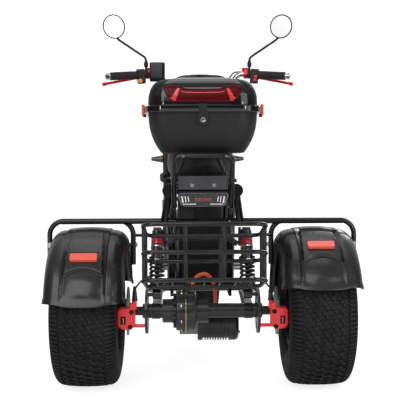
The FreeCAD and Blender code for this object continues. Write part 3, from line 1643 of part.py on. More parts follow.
def main():
    os.makedirs("parts", exist_ok=True)
    rear_wheels()
    front_wheel()
    save("axle_housing", axle_housing())
    save("differential", differential())
    save("drive_motor", drive_motor())
    save("swingarm", swingarm())
    save("shocks", Part.makeCompound([shock(-1), shock(1)]))
    save("springs", Part.makeCompound([spring(-1), spring(1)]))
    save("rear_calipers", Part.makeCompound([rear_caliper(-1), rear_caliper(1)]))
    save("main_frame", main_frame())
    save("fork", fork())
    save("handlebar", handlebar())
    save("grips", grips())
    save("switch_housings", switch_housings())
    save("brake_levers", brake_levers())
    save("left_mirror", mirror(-1))
    save("right_mirror", mirror(1))
    save("headlight", headlight())
    save("front_signals", front_signals())
    save("front_caliper", front_caliper())
    save("front_fender", front_fender())
    save("left_fender", rear_fender(-1))
    save("right_fender", rear_fender(1))
    save("fender_reflectors", Part.makeCompound([rear_reflector(-1), rear_reflector(1)]))
    save("guard_rail", guard_rail())
    save("basket", basket())
    save("rear_rack", rear_rack())
    save("plate_panel", plate_panel())
    save("tail_light", tail_light())
    save("case_base", case_base())
    save("case_lid", case_lid())
    save("lid_reflector", lid_reflector())
    save("backrest_pad", backrest_pad())
    save("seat", seat())
    save("seat_base", seat_base())
    save("battery_box", battery_box())
    save("deck_plate", deck_plate())
    save("junction_box", junction_box())
    save("display", display())
    save("motor_cable", cord_tube([vec(x, y, tyre_radius + z) for x, y, z in cable_points], cable_radius))
    save("front_brake_hose", front_brake_hose())
    save("rear_brake_hoses", Part.makeCompound(both_sides(rear_brake_hose())))


main()
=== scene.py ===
"""The looks of a motorized trike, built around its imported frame.

Lengths are metres. The frame runs +Y forward, +X to the right and +Z up, from the ground
under the middle of the vehicle. Places on the rear of the vehicle are given in millimetres
from the ground below the middle of the rear axle, and spot() turns them into metres.
"""
import json
import math

import bmesh
import bpy
import numpy as np
from mathutils import Matrix, Vector
from mathutils.bvhtree import BVHTree

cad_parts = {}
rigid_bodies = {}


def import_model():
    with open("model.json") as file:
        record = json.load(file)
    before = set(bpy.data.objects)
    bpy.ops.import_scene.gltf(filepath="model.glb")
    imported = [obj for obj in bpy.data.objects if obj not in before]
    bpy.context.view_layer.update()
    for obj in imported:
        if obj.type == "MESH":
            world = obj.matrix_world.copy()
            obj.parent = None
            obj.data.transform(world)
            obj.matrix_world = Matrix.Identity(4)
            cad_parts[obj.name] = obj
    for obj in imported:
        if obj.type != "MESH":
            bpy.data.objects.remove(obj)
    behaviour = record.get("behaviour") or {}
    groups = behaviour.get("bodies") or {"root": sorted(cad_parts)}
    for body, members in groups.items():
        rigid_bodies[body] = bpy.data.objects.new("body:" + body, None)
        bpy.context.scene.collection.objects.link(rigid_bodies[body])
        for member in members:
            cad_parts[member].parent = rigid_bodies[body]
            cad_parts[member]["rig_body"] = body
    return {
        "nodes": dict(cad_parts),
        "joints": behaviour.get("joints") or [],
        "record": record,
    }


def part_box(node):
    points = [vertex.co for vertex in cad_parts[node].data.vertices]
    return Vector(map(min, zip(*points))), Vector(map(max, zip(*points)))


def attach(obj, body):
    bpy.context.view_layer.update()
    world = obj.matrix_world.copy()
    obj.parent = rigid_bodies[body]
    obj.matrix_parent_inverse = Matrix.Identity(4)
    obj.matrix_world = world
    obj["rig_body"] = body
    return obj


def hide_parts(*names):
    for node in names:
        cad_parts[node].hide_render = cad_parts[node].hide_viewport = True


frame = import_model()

bl_info = {
    "name": "Motorized trike",
    "version": (1, 0, 0),
    "blender": (4, 5, 0),
    "location": "View3D > Sidebar > Trike",
    "description": "Finishes, tyres, fenders, top case, cushions and stage of a motorized trike",
    "category": "Object",
}

MM = 0.001
TURN = 2 * math.pi
REARWARD, AHEAD, RIGHT, UP = (0, -1, 0), (0, 1, 0), (1, 0, 0), (0, 0, 1)
MERGE = 2e-6
SKIN_EDGE = 32
JOINTS = {joint["name"]: joint for joint in frame["joints"]}
SLOT_OF = {part["node"]: part["material_slot"] for part in frame["record"]["subparts"]}
AXLE_Y = JOINTS["rear_left_wheel_spin"]["pos_m"][1]
TRACK_HALF, AXLE_HEIGHT = 344, 228  # of the rear wheels, millimetres
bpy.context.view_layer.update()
FINISH = {}


def spot(x, y, z):
    """Millimetres from the ground below the rear axle's middle, as metres in the frame."""
    x, y, z = np.broadcast_arrays(*(np.asarray(value, float) for value in (x, y, z)))
    return np.stack([x * MM, AXLE_Y + y * MM, z * MM], -1)


# Shapes: a pair of points (n, 3) and a list of index arrays, one array per face size


def grid(points):
    """Quads between neighbours of a grid of points (rows, columns, 3)."""
    rows, columns = points.shape[:2]
    index = np.arange(rows * columns).reshape(rows, columns)
    quads = np.stack([index[:-1, :-1], index[:-1, 1:], index[1:, 1:], index[1:, :-1]], -1)
    return points.reshape(-1, 3), [quads.reshape(-1, 4)]


def joined(shapes):
    """Several shapes as one, with their face indices moved along."""
    points, faces, start = [], [], 0
    for shape_points, shape_faces in shapes:
        points.append(shape_points)
        faces += [block + start for block in shape_faces]
        start += len(shape_points)
    return np.concatenate(points), faces


def repeated(copies, faces):
    """One set of faces for each of the copies (count, points, 3)."""
    count, size = copies.shape[:2]
    starts = np.arange(count)[:, None, None] * size
    return copies.reshape(-1, 3), [(block[None] + starts).reshape(-1, block.shape[1]) for block in faces]


def unit(vectors):
    """Vectors divided by their length, along the last axis."""
    vectors = np.asarray(vectors, float)
    return vectors / np.linalg.norm(vectors, axis=-1, keepdims=True)


def across(direction, hint=UP):
    """Two unit directions square to a direction, the second one nearest to the hint."""
    direction = unit(direction)
    hint = np.asarray(hint, float)
    if abs(direction @ hint) > 0.95 * np.linalg.norm(hint):
        hint = np.array([1.0, 0.0, 0.0]) if abs(direction[0]) < 0.9 else np.array([0.0, 1.0, 0.0])
    side = unit(np.cross(hint, direction))
    return side, np.cross(direction, side)


def lathe(profile, centre, axis, sides):
    """Turn a profile of (along, radius) about an axis: centre + along*axis + radius*(side cos t + up sin t)."""
    axis = unit(axis)
    side, up = across(axis)
    along, radius = np.asarray(profile, float).T
    t = np.linspace(0, TURN, sides + 1)
    ring = np.cos(t)[None, :, None] * side + np.sin(t)[None, :, None] * up
    points = np.asarray(centre, float) + along[:, None, None] * axis + radius[:, None, None] * ring
    return grid(points)


def sweep(path, section, up):
    """Carry a closed section (k, 2) along a path (n, 3), its first axis sideways and its second towards up."""
    path = np.asarray(path, float)
    way = unit(np.gradient(path, axis=0))
    side = unit(np.cross(way, np.asarray(up, float)))
    top = np.cross(side, way)
    section = np.concatenate([section, section[:1]])[None]
    points = path[:, None] + section[..., :1] * side[:, None] + section[..., 1:] * top[:, None]
    ends = np.stack([path[0], path[-1]])[:, None].repeat(section.shape[1], 1)
    return grid(np.concatenate([ends[:1], points, ends[1:]]))


def circle(radius, sides):
    """Points of a circle."""
    t = np.linspace(0, TURN, sides, endpoint=False)
    return np.stack([radius * np.cos(t), radius * np.sin(t)], -1)


def inset(outline, depth):
    """An outline (k, 2) moved inwards along the mitre of each corner's two sides."""
    back = unit(outline - np.roll(outline, 1, 0))
    ahead = unit(np.roll(outline, -1, 0) - outline)
    normal = np.stack([-(back[:, 1] + ahead[:, 1]), back[:, 0] + ahead[:, 0]], -1)
    normal /= np.maximum(1e-9, (np.linalg.norm(normal, axis=1) ** 2 / 2)[:, None])
    return outline + depth * normal


def prism(outline, height, bevel):
    """An anticlockwise outline raised to a height, with its upper edge cut back by a bevel."""
    outline = np.asarray(outline, float)
    count = len(outline)
    rows = [(outline, 0.0), (outline, height - bevel), (inset(outline, bevel), height)]
    points = np.concatenate([np.column_stack([row, np.full(count, level)]) for row, level in rows])
    index = np.arange(count)
    after = np.roll(index, -1)
    sides = [np.stack([index + k * count, after + k * count, after + (k + 1) * count, index + (k + 1) * count], -1)
             for k in range(2)]
    caps = np.stack([index[::-1], index + 2 * count])
    return points, [np.concatenate(sides), caps]


def set_down(shape, foot, up):
    """Stand a shape modelled on the XY plane at a foot point, its Z along up."""
    points, faces = shape
    up = unit(up)
    side, top = across(up)
    return np.asarray(foot, float) + points @ np.stack([side, top, up]), faces


def round_loop(half, rear, front, radius, corner=12):
    """A level rectangle with rounded corners, as one closed row of (x, y), millimetres."""
    t = np.linspace(0, math.pi / 2, corner + 1)
    rows = []
    for sign_x, sign_y, start in ((1, 1, 0), (-1, 1, 1), (-1, -1, 2), (1, -1, 3)):
        turn = t + start * math.pi / 2
        centre = (sign_x * (half - radius), (front if sign_y > 0 else rear) - sign_y * radius)
        rows.append(np.stack([centre[0] + radius * np.cos(turn), centre[1] + radius * np.sin(turn)], -1))
    loop = np.concatenate(rows)
    return np.concatenate([loop, loop[:1]])


def edge_loop(points):
    """The rim of a grid of points as one closed row."""
    return np.concatenate([points[0], points[1:, -1], points[-1, -2::-1], points[-2::-1, 0]])


def slab(outer, inner):
    """A curved sheet with thickness: an outer grid, an inner grid and a strip between their rims."""
    return joined([grid(outer), grid(inner[::-1]), grid(np.stack([edge_loop(outer), edge_loop(inner)]))])


def raised(points, height, towards):
    """A grid of points moved along its own normals, to the side that looks towards a direction."""
    normal = np.cross(np.gradient(points, axis=1), np.gradient(points, axis=0))
    normal /= np.maximum(1e-12, np.linalg.norm(normal, axis=2, keepdims=True))
    if (normal @ np.asarray(towards, float)).sum() < 0:
        normal = -normal
    return points + np.asarray(height, float)[..., None] * normal


def soft_step(value, soft):
    """0 below -soft/2, 1 above soft/2, and a smooth cubic between."""
    share = np.clip(value / soft + 0.5, 0, 1)
    return share * share * (3 - 2 * share)


def smoothed(values, reach):
    """Evenly spaced values averaged with their neighbours under a bell of the given reach, ends kept."""
    bell = np.hanning(2 * reach + 3)[1:-1]
    padded_values = np.concatenate([np.repeat(values[:1], reach), values, np.repeat(values[-1:], reach)])
    return np.convolve(padded_values, bell / bell.sum(), "valid")


def turned(profile, foot, axis, sides=40):
    """A profile of (along, radius) in millimetres, turned about an axis through its foot."""
    return lathe(np.array(profile, float) * MM, foot, axis, sides)


def rod(length, radius, foot, axis, sides=20):
    """A round rod from its foot along an axis, millimetres."""
    return turned([(0, 0), (0, radius), (length, radius), (length, 0)], foot, axis, sides)


def bolt(foot, axis, size, height=None, sides=6):
    """A bolt's head on a round washer: two turned profiles, the head's with six sides or more."""
    height = size * 0.8 if height is None else height
    head = [(0, 0), (0, size), (height * 0.82, size), (height, size * 0.86), (height, 0)]
    washer = [(0, 0), (0, size * 1.3), (size * 0.16, size * 1.3), (size * 0.22, size * 1.22), (size * 0.22, 0)]
    return joined([lathe(washer, foot, axis, 20), lathe(head, foot, axis, sides)])


def rounded_block(half, place, soft=0.5, steps=7):
    """A box with rounded edges at a place: half sizes times a cube grid pushed towards a ball near its edges."""
    half = np.asarray(half, float)
    t = np.linspace(-1, 1, steps * 2 + 1)
    a, b = np.meshgrid(t, t, indexing="ij")
    radius = soft * half.min()
    sides = []
    for axis in range(3):
        for sign in (-1, 1):
            cube = np.empty(a.shape + (3,))
            cube[..., axis] = sign
            cube[..., (axis + 1) % 3] = a
            cube[..., (axis + 2) % 3] = b
            point = cube * half
            core = np.clip(point, -(half - radius), half - radius)
            away = point - core
            length = np.maximum(1e-12, np.linalg.norm(away, axis=-1, keepdims=True))
            sides.append(grid(core + away / length * radius))
    points, faces = joined(sides)
    return points + place, faces


def line_normals(line):
    """Unit normals of a flat line (n, 2), to the left of its way."""
    return unit(np.gradient(line, axis=0)[:, ::-1] * (-1, 1))


def wire(line, radius, sides=8):
    """A round wire along a line that runs across the vehicle or up."""
    return sweep(line, circle(radius, sides), AHEAD)


def sided(side, place):
    """A place of (x, y, z) in millimetres on the right, or its mirror image on the left, in metres."""
    return spot(side * place[0], *place[1:])


def both(make):
    """A shape made for the left side and one for the right, as one."""
    return joined([make(side) for side in (-1, 1)])


def merged(mesh, outwards):
    """Merge the points of a mesh that lie together, and turn its faces outwards if asked."""
    work = bmesh.new()
    work.from_mesh(mesh)
    bmesh.ops.remove_doubles(work, verts=work.verts, dist=MERGE)
    if outwards:
        bmesh.ops.recalc_face_normals(work, faces=work.faces)
    work.to_mesh(mesh)
    work.free()


def piece(name, shape, body, slot, edge, replaces=(), finish=None):
    """A shape as an object: seams and poles merged, faces turned outwards, smooth below an edge angle."""
    points, faces = shape
    mesh = bpy.data.meshes.new(name)
    mesh.from_pydata(points.tolist(), [], [row for block in faces for row in block.tolist()])
    merged(mesh, True)
    return dressed(name, mesh, body, slot, edge, replaces, finish)


def dressed(name, mesh, body, slot, edge, replaces, finish):
    """Link a mesh as a piece with its finish, on its body."""
    mesh.shade_smooth()
    mesh.set_sharp_from_angle(angle=math.radians(edge))
    made = bpy.data.objects.new(name, mesh)
    bpy.context.scene.collection.objects.link(made)
    mesh.materials.clear()
    mesh.materials.append(FINISH[finish or slot])
    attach(made, body)
    if replaces:
        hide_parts(*replaces)
    return made


def softened(node, finish=None):
    """A merged and smooth-shaded copy of a CAD node, which stands for it."""
    source = frame["nodes"][node]
    mesh = source.data.copy()
    merged(mesh, False)
    if mesh.has_custom_normals:
        mesh.attributes.remove(mesh.attributes["custom_normal"])
    return dressed(node + "_skin", mesh, source["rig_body"], SLOT_OF[node], SKIN_EDGE, (node,), finish)


# Finishes


class Recipe:
    """The node tree of a material or of the world, with short ways to add nodes."""

    def __init__(self, owner, shader="Principled BSDF"):
        self.owner = owner
        self.owner.use_nodes = True
        self.tree = self.owner.node_tree
        self.shader = self.tree.nodes[shader]
        self.places = self.add("ShaderNodeTexCoord").outputs

    def add(self, kind, inputs=None, **settings):
        """A node of a kind with its settings and its inputs, values or sockets."""
        made = self.tree.nodes.new(kind)
        for key, value in settings.items():
            setattr(made, key, value)
        for key, value in (inputs or {}).items():
            self.put(made.inputs[key], value)
        return made

    def put(self, socket, value):
        """Link a socket to a socket, or set its value."""
        if isinstance(value, bpy.types.NodeSocket):
            self.tree.links.new(value, socket)
        else:
            socket.default_value = value

    def math(self, operation, *values):
        """The result of a named operation on values or sockets."""
        return self.add("ShaderNodeMath", dict(enumerate(values)), operation=operation).outputs[0]

    def noise(self, scale, detail=3.0, stretch=None):
        """Noise in Object coordinates, stretched if asked."""
        place = self.places["Object"]
        if stretch:
            place = self.add("ShaderNodeMapping", {"Vector": place, "Scale": stretch}).outputs[0]
        return self.add("ShaderNodeTexNoise", {"Vector": place, "Scale": scale, "Detail": detail}).outputs["Fac"]

    def cells(self, scale, inputs=None, **settings):
        """Distances in a field of cells, in Object coordinates."""
        inputs = {"Vector": self.places["Object"], "Scale": scale, **(inputs or {})}
        return self.add("ShaderNodeTexVoronoi", inputs, **settings).outputs["Distance"]

    def spread(self, value, low, high, start=0.3, end=0.7):
        """A value between start and end, mapped to low and high."""
        return self.add("ShaderNodeMapRange", {"Value": value, "From Min": start, "From Max": end,
                                               "To Min": low, "To Max": high}).outputs[0]

    def mixed(self, share, first, second):
        """Two colours mixed by a share."""
        return self.add("ShaderNodeMix", {"Factor": share, 6: first, 7: second}, data_type="RGBA").outputs[2]

    def patchy(self, scale, colour, dark, light):
        """A colour that drifts between a darker and a lighter tone."""
        return self.mixed(self.spread(self.noise(scale), 0.0, 1.0), tone(colour, dark), tone(colour, light))

    def relief(self, height, strength, depth):
        """A bumped normal from a height."""
        return self.add("ShaderNodeBump", {"Height": height, "Strength": strength, "Distance": depth}).outputs[0]

    def mirrored(self, rays):
        """1 for glossy and transmission rays, 0 for others."""
        return self.math("MAXIMUM", rays["Is Glossy Ray"], rays["Is Transmission Ray"])

    def finished(self, inputs, colour=None, glow=0.0):
        """The material or world with its shader's sockets set, and with a glow of a colour if asked."""
        if glow:
            inputs = {**inputs, "Emission Color": tone(colour, 1.0), "Emission Strength": glow}
        for key, value in inputs.items():
            self.put(self.shader.inputs[key], value)
        return self.owner


def tone(colour, share):
    """A colour made lighter or darker by a share, with alpha."""
    return tuple(min(1.0, max(0.0, c * share)) for c in colour) + (1.0,)


PATCH_SCALE = 14.0
ROAD_DUST = (0.17, 0.165, 0.155, 1.0)
TYRE_DUST = (0.032, 0.0315, 0.030, 1.0)


def coated(name, colour, rough, metal=0.0, coat=0.0, shade=0.25, spread=0.06, grain=600.0, relief=0.08,
           stretch=None, dust=0.0, specular=0.5, glow=0.0):
    """Paint, plastic or metal: patchy tone, uneven gloss, a fine grain and a little dust on top faces; a glow, where
    asked, is emission, which on a part that is no lamp is painted light.
    """
    made = Recipe(bpy.data.materials.new(name))
    tint = made.patchy(PATCH_SCALE, colour, 1 - shade, 1 + shade)
    if dust:
        facing = made.add("ShaderNodeSeparateXYZ", {0: made.add("ShaderNodeNewGeometry").outputs["Normal"]})
        upward = made.spread(facing.outputs["Z"], 0.0, dust, 0.2, 1.0)
        tint = made.mixed(made.math("MULTIPLY", upward, made.noise(90.0)), tint, ROAD_DUST)
    gloss = made.noise(PATCH_SCALE * 3, stretch=stretch)
    return made.finished({
        "Base Color": tint, "Metallic": metal, "Coat Weight": coat, "Coat Roughness": 0.08,
        "Roughness": made.spread(gloss, max(0.02, rough - spread), min(1.0, rough + spread)),
        "Specular IOR Level": specular, "Normal": made.relief(made.noise(grain, 4.0, stretch), relief, 0.0004),
    }, colour, glow)


def grained(name, colour, rough, cell, relief, sheen=0.0):
    """Moulded vinyl or leather: small cells with creases between them, and painted shade: the creases are painted
    darker.
    """
    made = Recipe(bpy.data.materials.new(name))
    tint = made.patchy(22.0, colour, 0.75, 1.35)
    crease_and_shade = made.spread(made.cells(cell, feature="DISTANCE_TO_EDGE"), 0.0, 1.0, 0.0, 0.12)
    return made.finished({
        # Painted shade: the creases are darkened to half the tone, as shade would fall in them.
        "Base Color": made.mixed(crease_and_shade, tone(colour, 0.5), tint), "Sheen Weight": sheen,
        "Roughness": made.spread(made.noise(60.0), rough - 0.07, rough + 0.07),
        "Normal": made.relief(crease_and_shade, relief, 0.0005)})


def rubbery(name, colour, dirt):
    """Tyre rubber: dull, finely pitted, paler with road dust in patches."""
    made = Recipe(bpy.data.materials.new(name))
    patches = made.spread(made.noise(16.0, 5.0), 0.0, dirt)
    return made.finished({
        "Base Color": made.mixed(patches, tone(colour, 1.0), TYRE_DUST), "Specular IOR Level": 0.28,
        "Roughness": made.spread(made.noise(45.0), 0.62, 0.85),
        "Normal": made.relief(made.noise(750.0, 5.0), 0.25, 0.0005)})


def faceted(name, colour, cell, glow=0.0, coat=0.9, relief=0.35, specular=0.5):
    """Reflector plastic: coloured and glossy over a field of small prisms, each prism painted lighter and darker as
    painted highlight and shade.
    """
    made = Recipe(bpy.data.materials.new(name))
    prisms = made.cells(cell, {"Randomness": 0.05}, distance="MANHATTAN")
    # Painted highlight and shade: the prisms' colour goes lighter and darker across each cell, standing in for light on
    # the facets.
    light = made.spread(prisms, 0.0, 1.0, 0.1, 0.7)
    return made.finished({
        "Base Color": made.mixed(light, tone(colour, 1.25), tone(colour, 0.55)), "Roughness": 0.22,
        "Coat Weight": coat, "Coat Roughness": 0.04, "Specular IOR Level": specular,
        "Normal": made.relief(prisms, relief, 0.0006)}, colour, glow)


def see_through(name, colour):
    """Clear moulded plastic with faint ripples."""
    made = Recipe(bpy.data.materials.new(name))
    return made.finished({
        "Base Color": made.mixed(made.noise(30.0), tone(colour, 0.96), tone(colour, 1.0)), "Roughness": 0.03,
        "Transmission Weight": 1.0, "IOR": 1.46, "Normal": made.relief(made.noise(120.0), 0.04, 0.0004)})


def thin_clear(name, colour, cover):
    """A thin clear cover: glossy, and solid only by a small share."""
    made = Recipe(bpy.data.materials.new(name))
    return made.finished({
        "Base Color": made.mixed(made.noise(40.0), tone(colour, 0.95), tone(colour, 1.0)), "Roughness": 0.06,
        "Specular IOR Level": 0.3, "Alpha": cover})


class TrikeColours(bpy.types.PropertyGroup):
    """The colours a user would change."""

    paint: bpy.props.FloatVectorProperty(
        name="Frame paint", description="Gloss paint of tubes, rack and basket", subtype="COLOR",
        default=(0.0065, 0.0070, 0.0082), min=0, max=1)
    fender: bpy.props.FloatVectorProperty(
        name="Fenders", description="Moulded fenders", subtype="COLOR",
        default=(0.0072, 0.0077, 0.0090), min=0, max=1)
    case: bpy.props.FloatVectorProperty(
        name="Top case", description="Matt shell of the top case", subtype="COLOR",
        default=(0.0068, 0.0070, 0.0076), min=0, max=1)
    accent: bpy.props.FloatVectorProperty(
        name="Red parts", description="Calipers and brake levers", subtype="COLOR",
        default=(0.84, 0.030, 0.034), min=0, max=1)
    reflector: bpy.props.FloatVectorProperty(
        name="Reflectors", description="Reflectors on fenders and case", subtype="COLOR",
        default=(0.98, 0.125, 0.080), min=0, max=1)
    rubber: bpy.props.FloatVectorProperty(
        name="Tyres", description="Tyre rubber", subtype="COLOR",
        default=(0.0082, 0.0082, 0.0082), min=0, max=1)
    vinyl: bpy.props.FloatVectorProperty(
        name="Seat vinyl", description="Seat and backrest cover", subtype="COLOR",
        default=(0.0095, 0.0095, 0.0100), min=0, max=1)


class TrikeSizes(bpy.types.PropertyGroup):
    """The sizes a user would change."""

    lug_depth: bpy.props.FloatProperty(
        name="Tread depth", description="Height of the tread blocks", default=0.0055, min=0.001, max=0.01,
        unit="LENGTH")
    tread_pitches: bpy.props.IntProperty(
        name="Tread pitches", description="Rows of tread blocks round a tyre", default=54, min=20, max=90)
    cushion_swell: bpy.props.FloatProperty(
        name="Cushion swell", description="How far the padding may puff out", default=0.009, min=0.0, max=0.03,
        unit="LENGTH")


class TRIKE_OT_finishes(bpy.types.Operator):
    """Mix every finish and give each CAD node its own"""

    bl_idname = "trike.finishes"
    bl_label = "Finishes"

    def execute(self, context):
        colour = context.scene.trike_colours
        coats = {
            "rim_black": (colour.paint, 0.32, dict(coat=0.4, dust=0.15)),
            "disc_steel": ((0.26, 0.26, 0.27), 0.32, dict(metal=1.0, stretch=(40.0, 1.0, 1.0), grain=160.0)),
            "frame_black": (colour.paint, 0.24, dict(coat=0.35, relief=0.03, spread=0.04, dust=0.10, specular=0.35)),
            "axle_grey": ((0.011, 0.0115, 0.0125), 0.34, dict(coat=0.4, relief=0.3, grain=420.0, dust=0.2)),
            "motor_grey": ((0.014, 0.015, 0.017), 0.36, dict(coat=0.3, relief=0.3, grain=420.0, dust=0.2)),
            "shock_metal": ((0.030, 0.030, 0.032), 0.25, dict(metal=0.3, coat=0.5)),
            "spring_black": ((0.014, 0.014, 0.015), 0.28, dict(coat=0.6, relief=0.04)),
            # Painted light: the calipers' glow makes their red brighter by emission, though a caliper is no lamp.
            "caliper_red": (colour.accent, 0.34, dict(coat=0.5, relief=0.10, shade=0.12, glow=0.22)),
            "bar_chrome": ((0.60, 0.60, 0.62), 0.10, dict(metal=1.0, shade=0.05, spread=0.03, relief=0.02)),
            "lever_red": (colour.accent, 0.26, dict(metal=0.75, coat=0.3, shade=0.12, relief=0.04)),
            "plastic_black": (colour.case, 0.50, dict(relief=0.22, grain=900.0, dust=0.08, specular=0.4)),
            "fender_black": (colour.fender, 0.30, dict(coat=0.25, relief=0.05, spread=0.05, dust=0.08)),
            "signal_black": ((0.020, 0.020, 0.022), 0.3, dict(coat=0.4)),
            "plate_grey": ((0.042, 0.044, 0.049), 0.42, dict(relief=0.12, grain=700.0)),
            "deck_metal": ((0.42, 0.42, 0.43), 0.34, dict(metal=0.9, stretch=(1.0, 0.03, 1.0), grain=500.0)),
            "cable_orange": ((0.78, 0.13, 0.055), 0.42, dict(relief=0.1, shade=0.1)),
            "trim_grey": ((0.20, 0.20, 0.21), 0.28, dict(metal=1.0, relief=0.03, shade=0.1)),
            "case_matt": (colour.case, 0.46, dict(relief=0.30, grain=1100.0, spread=0.05, dust=0.03, specular=0.26)),
            "case_gloss": ((0.004, 0.004, 0.005), 0.05, dict(coat=0.9, relief=0.01, spread=0.03, specular=0.4)),
            # Painted reflection: the mirror glass glows nearly white, standing in for the white background it reflects.
            "mirror_glass": ((0.90, 0.905, 0.91), 0.12, dict(metal=1.0, shade=0.01, spread=0.0, relief=0.0, glow=0.95)),
            "screen": ((0.010, 0.011, 0.013), 0.08, dict(coat=0.1, specular=0.3, relief=0.0, spread=0.02)),
            "light_guide": ((0.72, 0.74, 0.76), 0.12, dict(coat=0.5, relief=0.02, shade=0.05, glow=0.10)),
            "amber_smoke": ((0.10, 0.045, 0.012), 0.12, dict(coat=0.8, relief=0.05, shade=0.1)),
            "button_red": ((0.75, 0.03, 0.04), 0.3, dict(coat=0.5, relief=0.03, shade=0.1)),
            "button_orange": ((0.85, 0.30, 0.03), 0.3, dict(coat=0.5, relief=0.03, shade=0.1)),
            "bolt_brass": ((0.66, 0.50, 0.24), 0.28, dict(metal=1.0, relief=0.1)),
            "bolt_steel": ((0.66, 0.66, 0.67), 0.25, dict(metal=1.0, relief=0.1)),
            "lamp_chrome": ((0.85, 0.85, 0.86), 0.06, dict(metal=1.0, shade=0.04, relief=0.02)),
            "hose_rubber": ((0.016, 0.016, 0.017), 0.36, dict(coat=0.2, relief=0.1)),
            "reservoir_red": ((0.62, 0.03, 0.065), 0.25, dict(metal=0.4, coat=0.6, shade=0.1)),
        }
        FINISH.update({name: coated(name, tint, rough, **more) for name, (tint, rough, more) in coats.items()})
        lenses = {
            # Painted light: reflector_red, lens_bright and lens_orange glow, though these reflectors are no lamps.
            "reflector_red": (colour.reflector, 420.0, dict(glow=0.24)),
            "lens_dark": ((0.30, 0.010, 0.014), 500.0, dict(glow=0.02)),
            "lens_red": ((0.105, 0.002, 0.004), 300.0, dict(coat=0.0, relief=0.10, specular=0.14)),
            "lens_bright": ((0.85, 0.02, 0.02), 520.0, dict(glow=0.12)),
            "lens_orange": ((0.90, 0.13, 0.045), 420.0, dict(glow=0.15)),
        }
        FINISH.update({name: faceted(name, tint, cell, **more) for name, (tint, cell, more) in lenses.items()})
        FINISH.update(
            tyre_rubber=rubbery("tyre_rubber", colour.rubber, 0.30),
            grip_rubber=grained("grip_rubber", (0.012, 0.012, 0.012), 0.62, 900.0, 0.3),
            seat_vinyl=grained("seat_vinyl", colour.vinyl, 0.46, 520.0, 0.35, 0.15),
            lamp_clear=see_through("lamp_clear", (0.96, 0.97, 0.98)),
            clear_cover=thin_clear("clear_cover", (0.5, 0.5, 0.52), 0.05))
        for name, made in frame["nodes"].items():
            made.data.materials.clear()
            made.data.materials.append(FINISH[SLOT_OF[name]])
        return {"FINISHED"}


class TRIKE_OT_frame_skins(bpy.types.Operator):
    """Smooth the CAD pieces whose shape is right"""

    bl_idname = "trike.frame_skins"
    bl_label = "Frame and running gear"

    kept = (
        "front_rim", "rear_left_rim", "rear_right_rim", "front_disc", "rear_left_disc", "rear_right_disc",
        "main_frame", "swingarm", "guard_rail", "basket", "rear_rack", "seat_base", "fork", "axle_housing",
        "differential", "drive_motor", "shocks", "front_caliper", "handlebar", "switch_housings",
        "brake_levers", "display", "junction_box", "battery_box", "front_signals", "plate_panel", "deck_plate",
        "motor_cable", "front_fender", "fender_reflectors", "case_base", "front_brake_hose", "rear_brake_hoses")

    def execute(self, context):
        for node in self.kept:
            softened(node)
        softened("headlight", finish="plastic_black")
        return {"FINISHED"}


# Tyres

TYRE_CORNERS = [(0, 227.6), (20, 227.4), (40, 226.6), (60, 224.6), (76, 221.6), (87, 217.0), (95, 209.5),
                (100, 200), (103.6, 186), (105.6, 170), (105.2, 155), (101.5, 141), (95, 130), (86, 122.5),
                (77, 117.5), (75.4, 112), (75.2, 104.4)]
BEAD_HALF = 75.2
SIDE_PULL = 0.22  # the sides lean in by this share of what stands past the bead
HOOK_BLOCK = np.array([(0, 0), (9.5, 0), (9.5, 8), (20.5, 8), (20.5, 23), (11, 23), (11, 15), (0, 15)], float)
BLOCK_COLUMNS, BLOCK_PITCH, BLOCK_STAGGER, BLOCK_BEVEL = 5, 25.4, 0.37, 1.1
TREAD_RADIUS, BAR_RADIUS = 226.0, 222.0
BAR_SINK = 0.4


def tyre_profile(steps=160):
    """Half a tyre's section from crown to bead as (across, radius), by arc length, millimetres."""
    corners = np.array(TYRE_CORNERS, float)
    corners[:, 0] -= SIDE_PULL * np.maximum(0, corners[:, 0] - BEAD_HALF)
    reach = np.concatenate([[0], np.cumsum(np.linalg.norm(np.diff(corners, axis=0), axis=1))])
    fine = np.linspace(0, reach[-1], steps)
    line = np.stack([np.interp(fine, reach, corners[:, k]) for k in range(2)], -1)
    kernel = np.hanning(11)[1:-1]
    kernel /= kernel.sum()
    padded_line = np.concatenate([line[4:0:-1] * (-1, 1), line, np.repeat(line[-1:], 4, 0)])
    return fine, np.stack([np.convolve(padded_line[:, k], kernel, "valid") for k in range(2)], -1)


PROFILE_REACH, PROFILE = tyre_profile()
PROFILE_NORMAL = line_normals(PROFILE)


def profile_at(reach):
    """The section and its normals at arc lengths from the crown."""
    return [np.stack([np.interp(reach, PROFILE_REACH, line[:, k]) for k in range(2)], -1)
            for line in (PROFILE, PROFILE_NORMAL)]


def on_tyre(centre, around, over, height):
    """Point of a tyre at an angle, at an arc length from its crown and at a height above its tread's tips (mm)."""
    place, out = profile_at(np.abs(over))
    place = place + np.asarray(height)[..., None] * out
    x, radius = np.sign(over) * place[..., 0], place[..., 1]
    return np.asarray(centre) + MM * np.stack([x, radius * np.cos(around), radius * np.sin(around)], -1)


def tread_blocks(centre, depth, pitches):
    """Five staggered rows of S-shaped blocks, laid on the tyre's surface."""
    pitch = TURN / pitches
    base, faces = prism(HOOK_BLOCK, depth, BLOCK_BEVEL)
    columns = np.arange(BLOCK_COLUMNS)
    turns = np.arange(pitches)
    start_over = (columns - BLOCK_COLUMNS / 2) * BLOCK_PITCH + 1.2
    shift = (columns * BLOCK_STAGGER) % 1.0
    around = base[None, None, :, 0] / TREAD_RADIUS + (turns[None, :, None] + shift[:, None, None]) * pitch
    over = np.broadcast_to(base[None, None, :, 1] + start_over[:, None, None], around.shape)
    height = np.broadcast_to(base[None, None, :, 2] - depth, around.shape)
    return repeated(on_tyre(centre, around, over, height).reshape(-1, len(base), 3), faces)


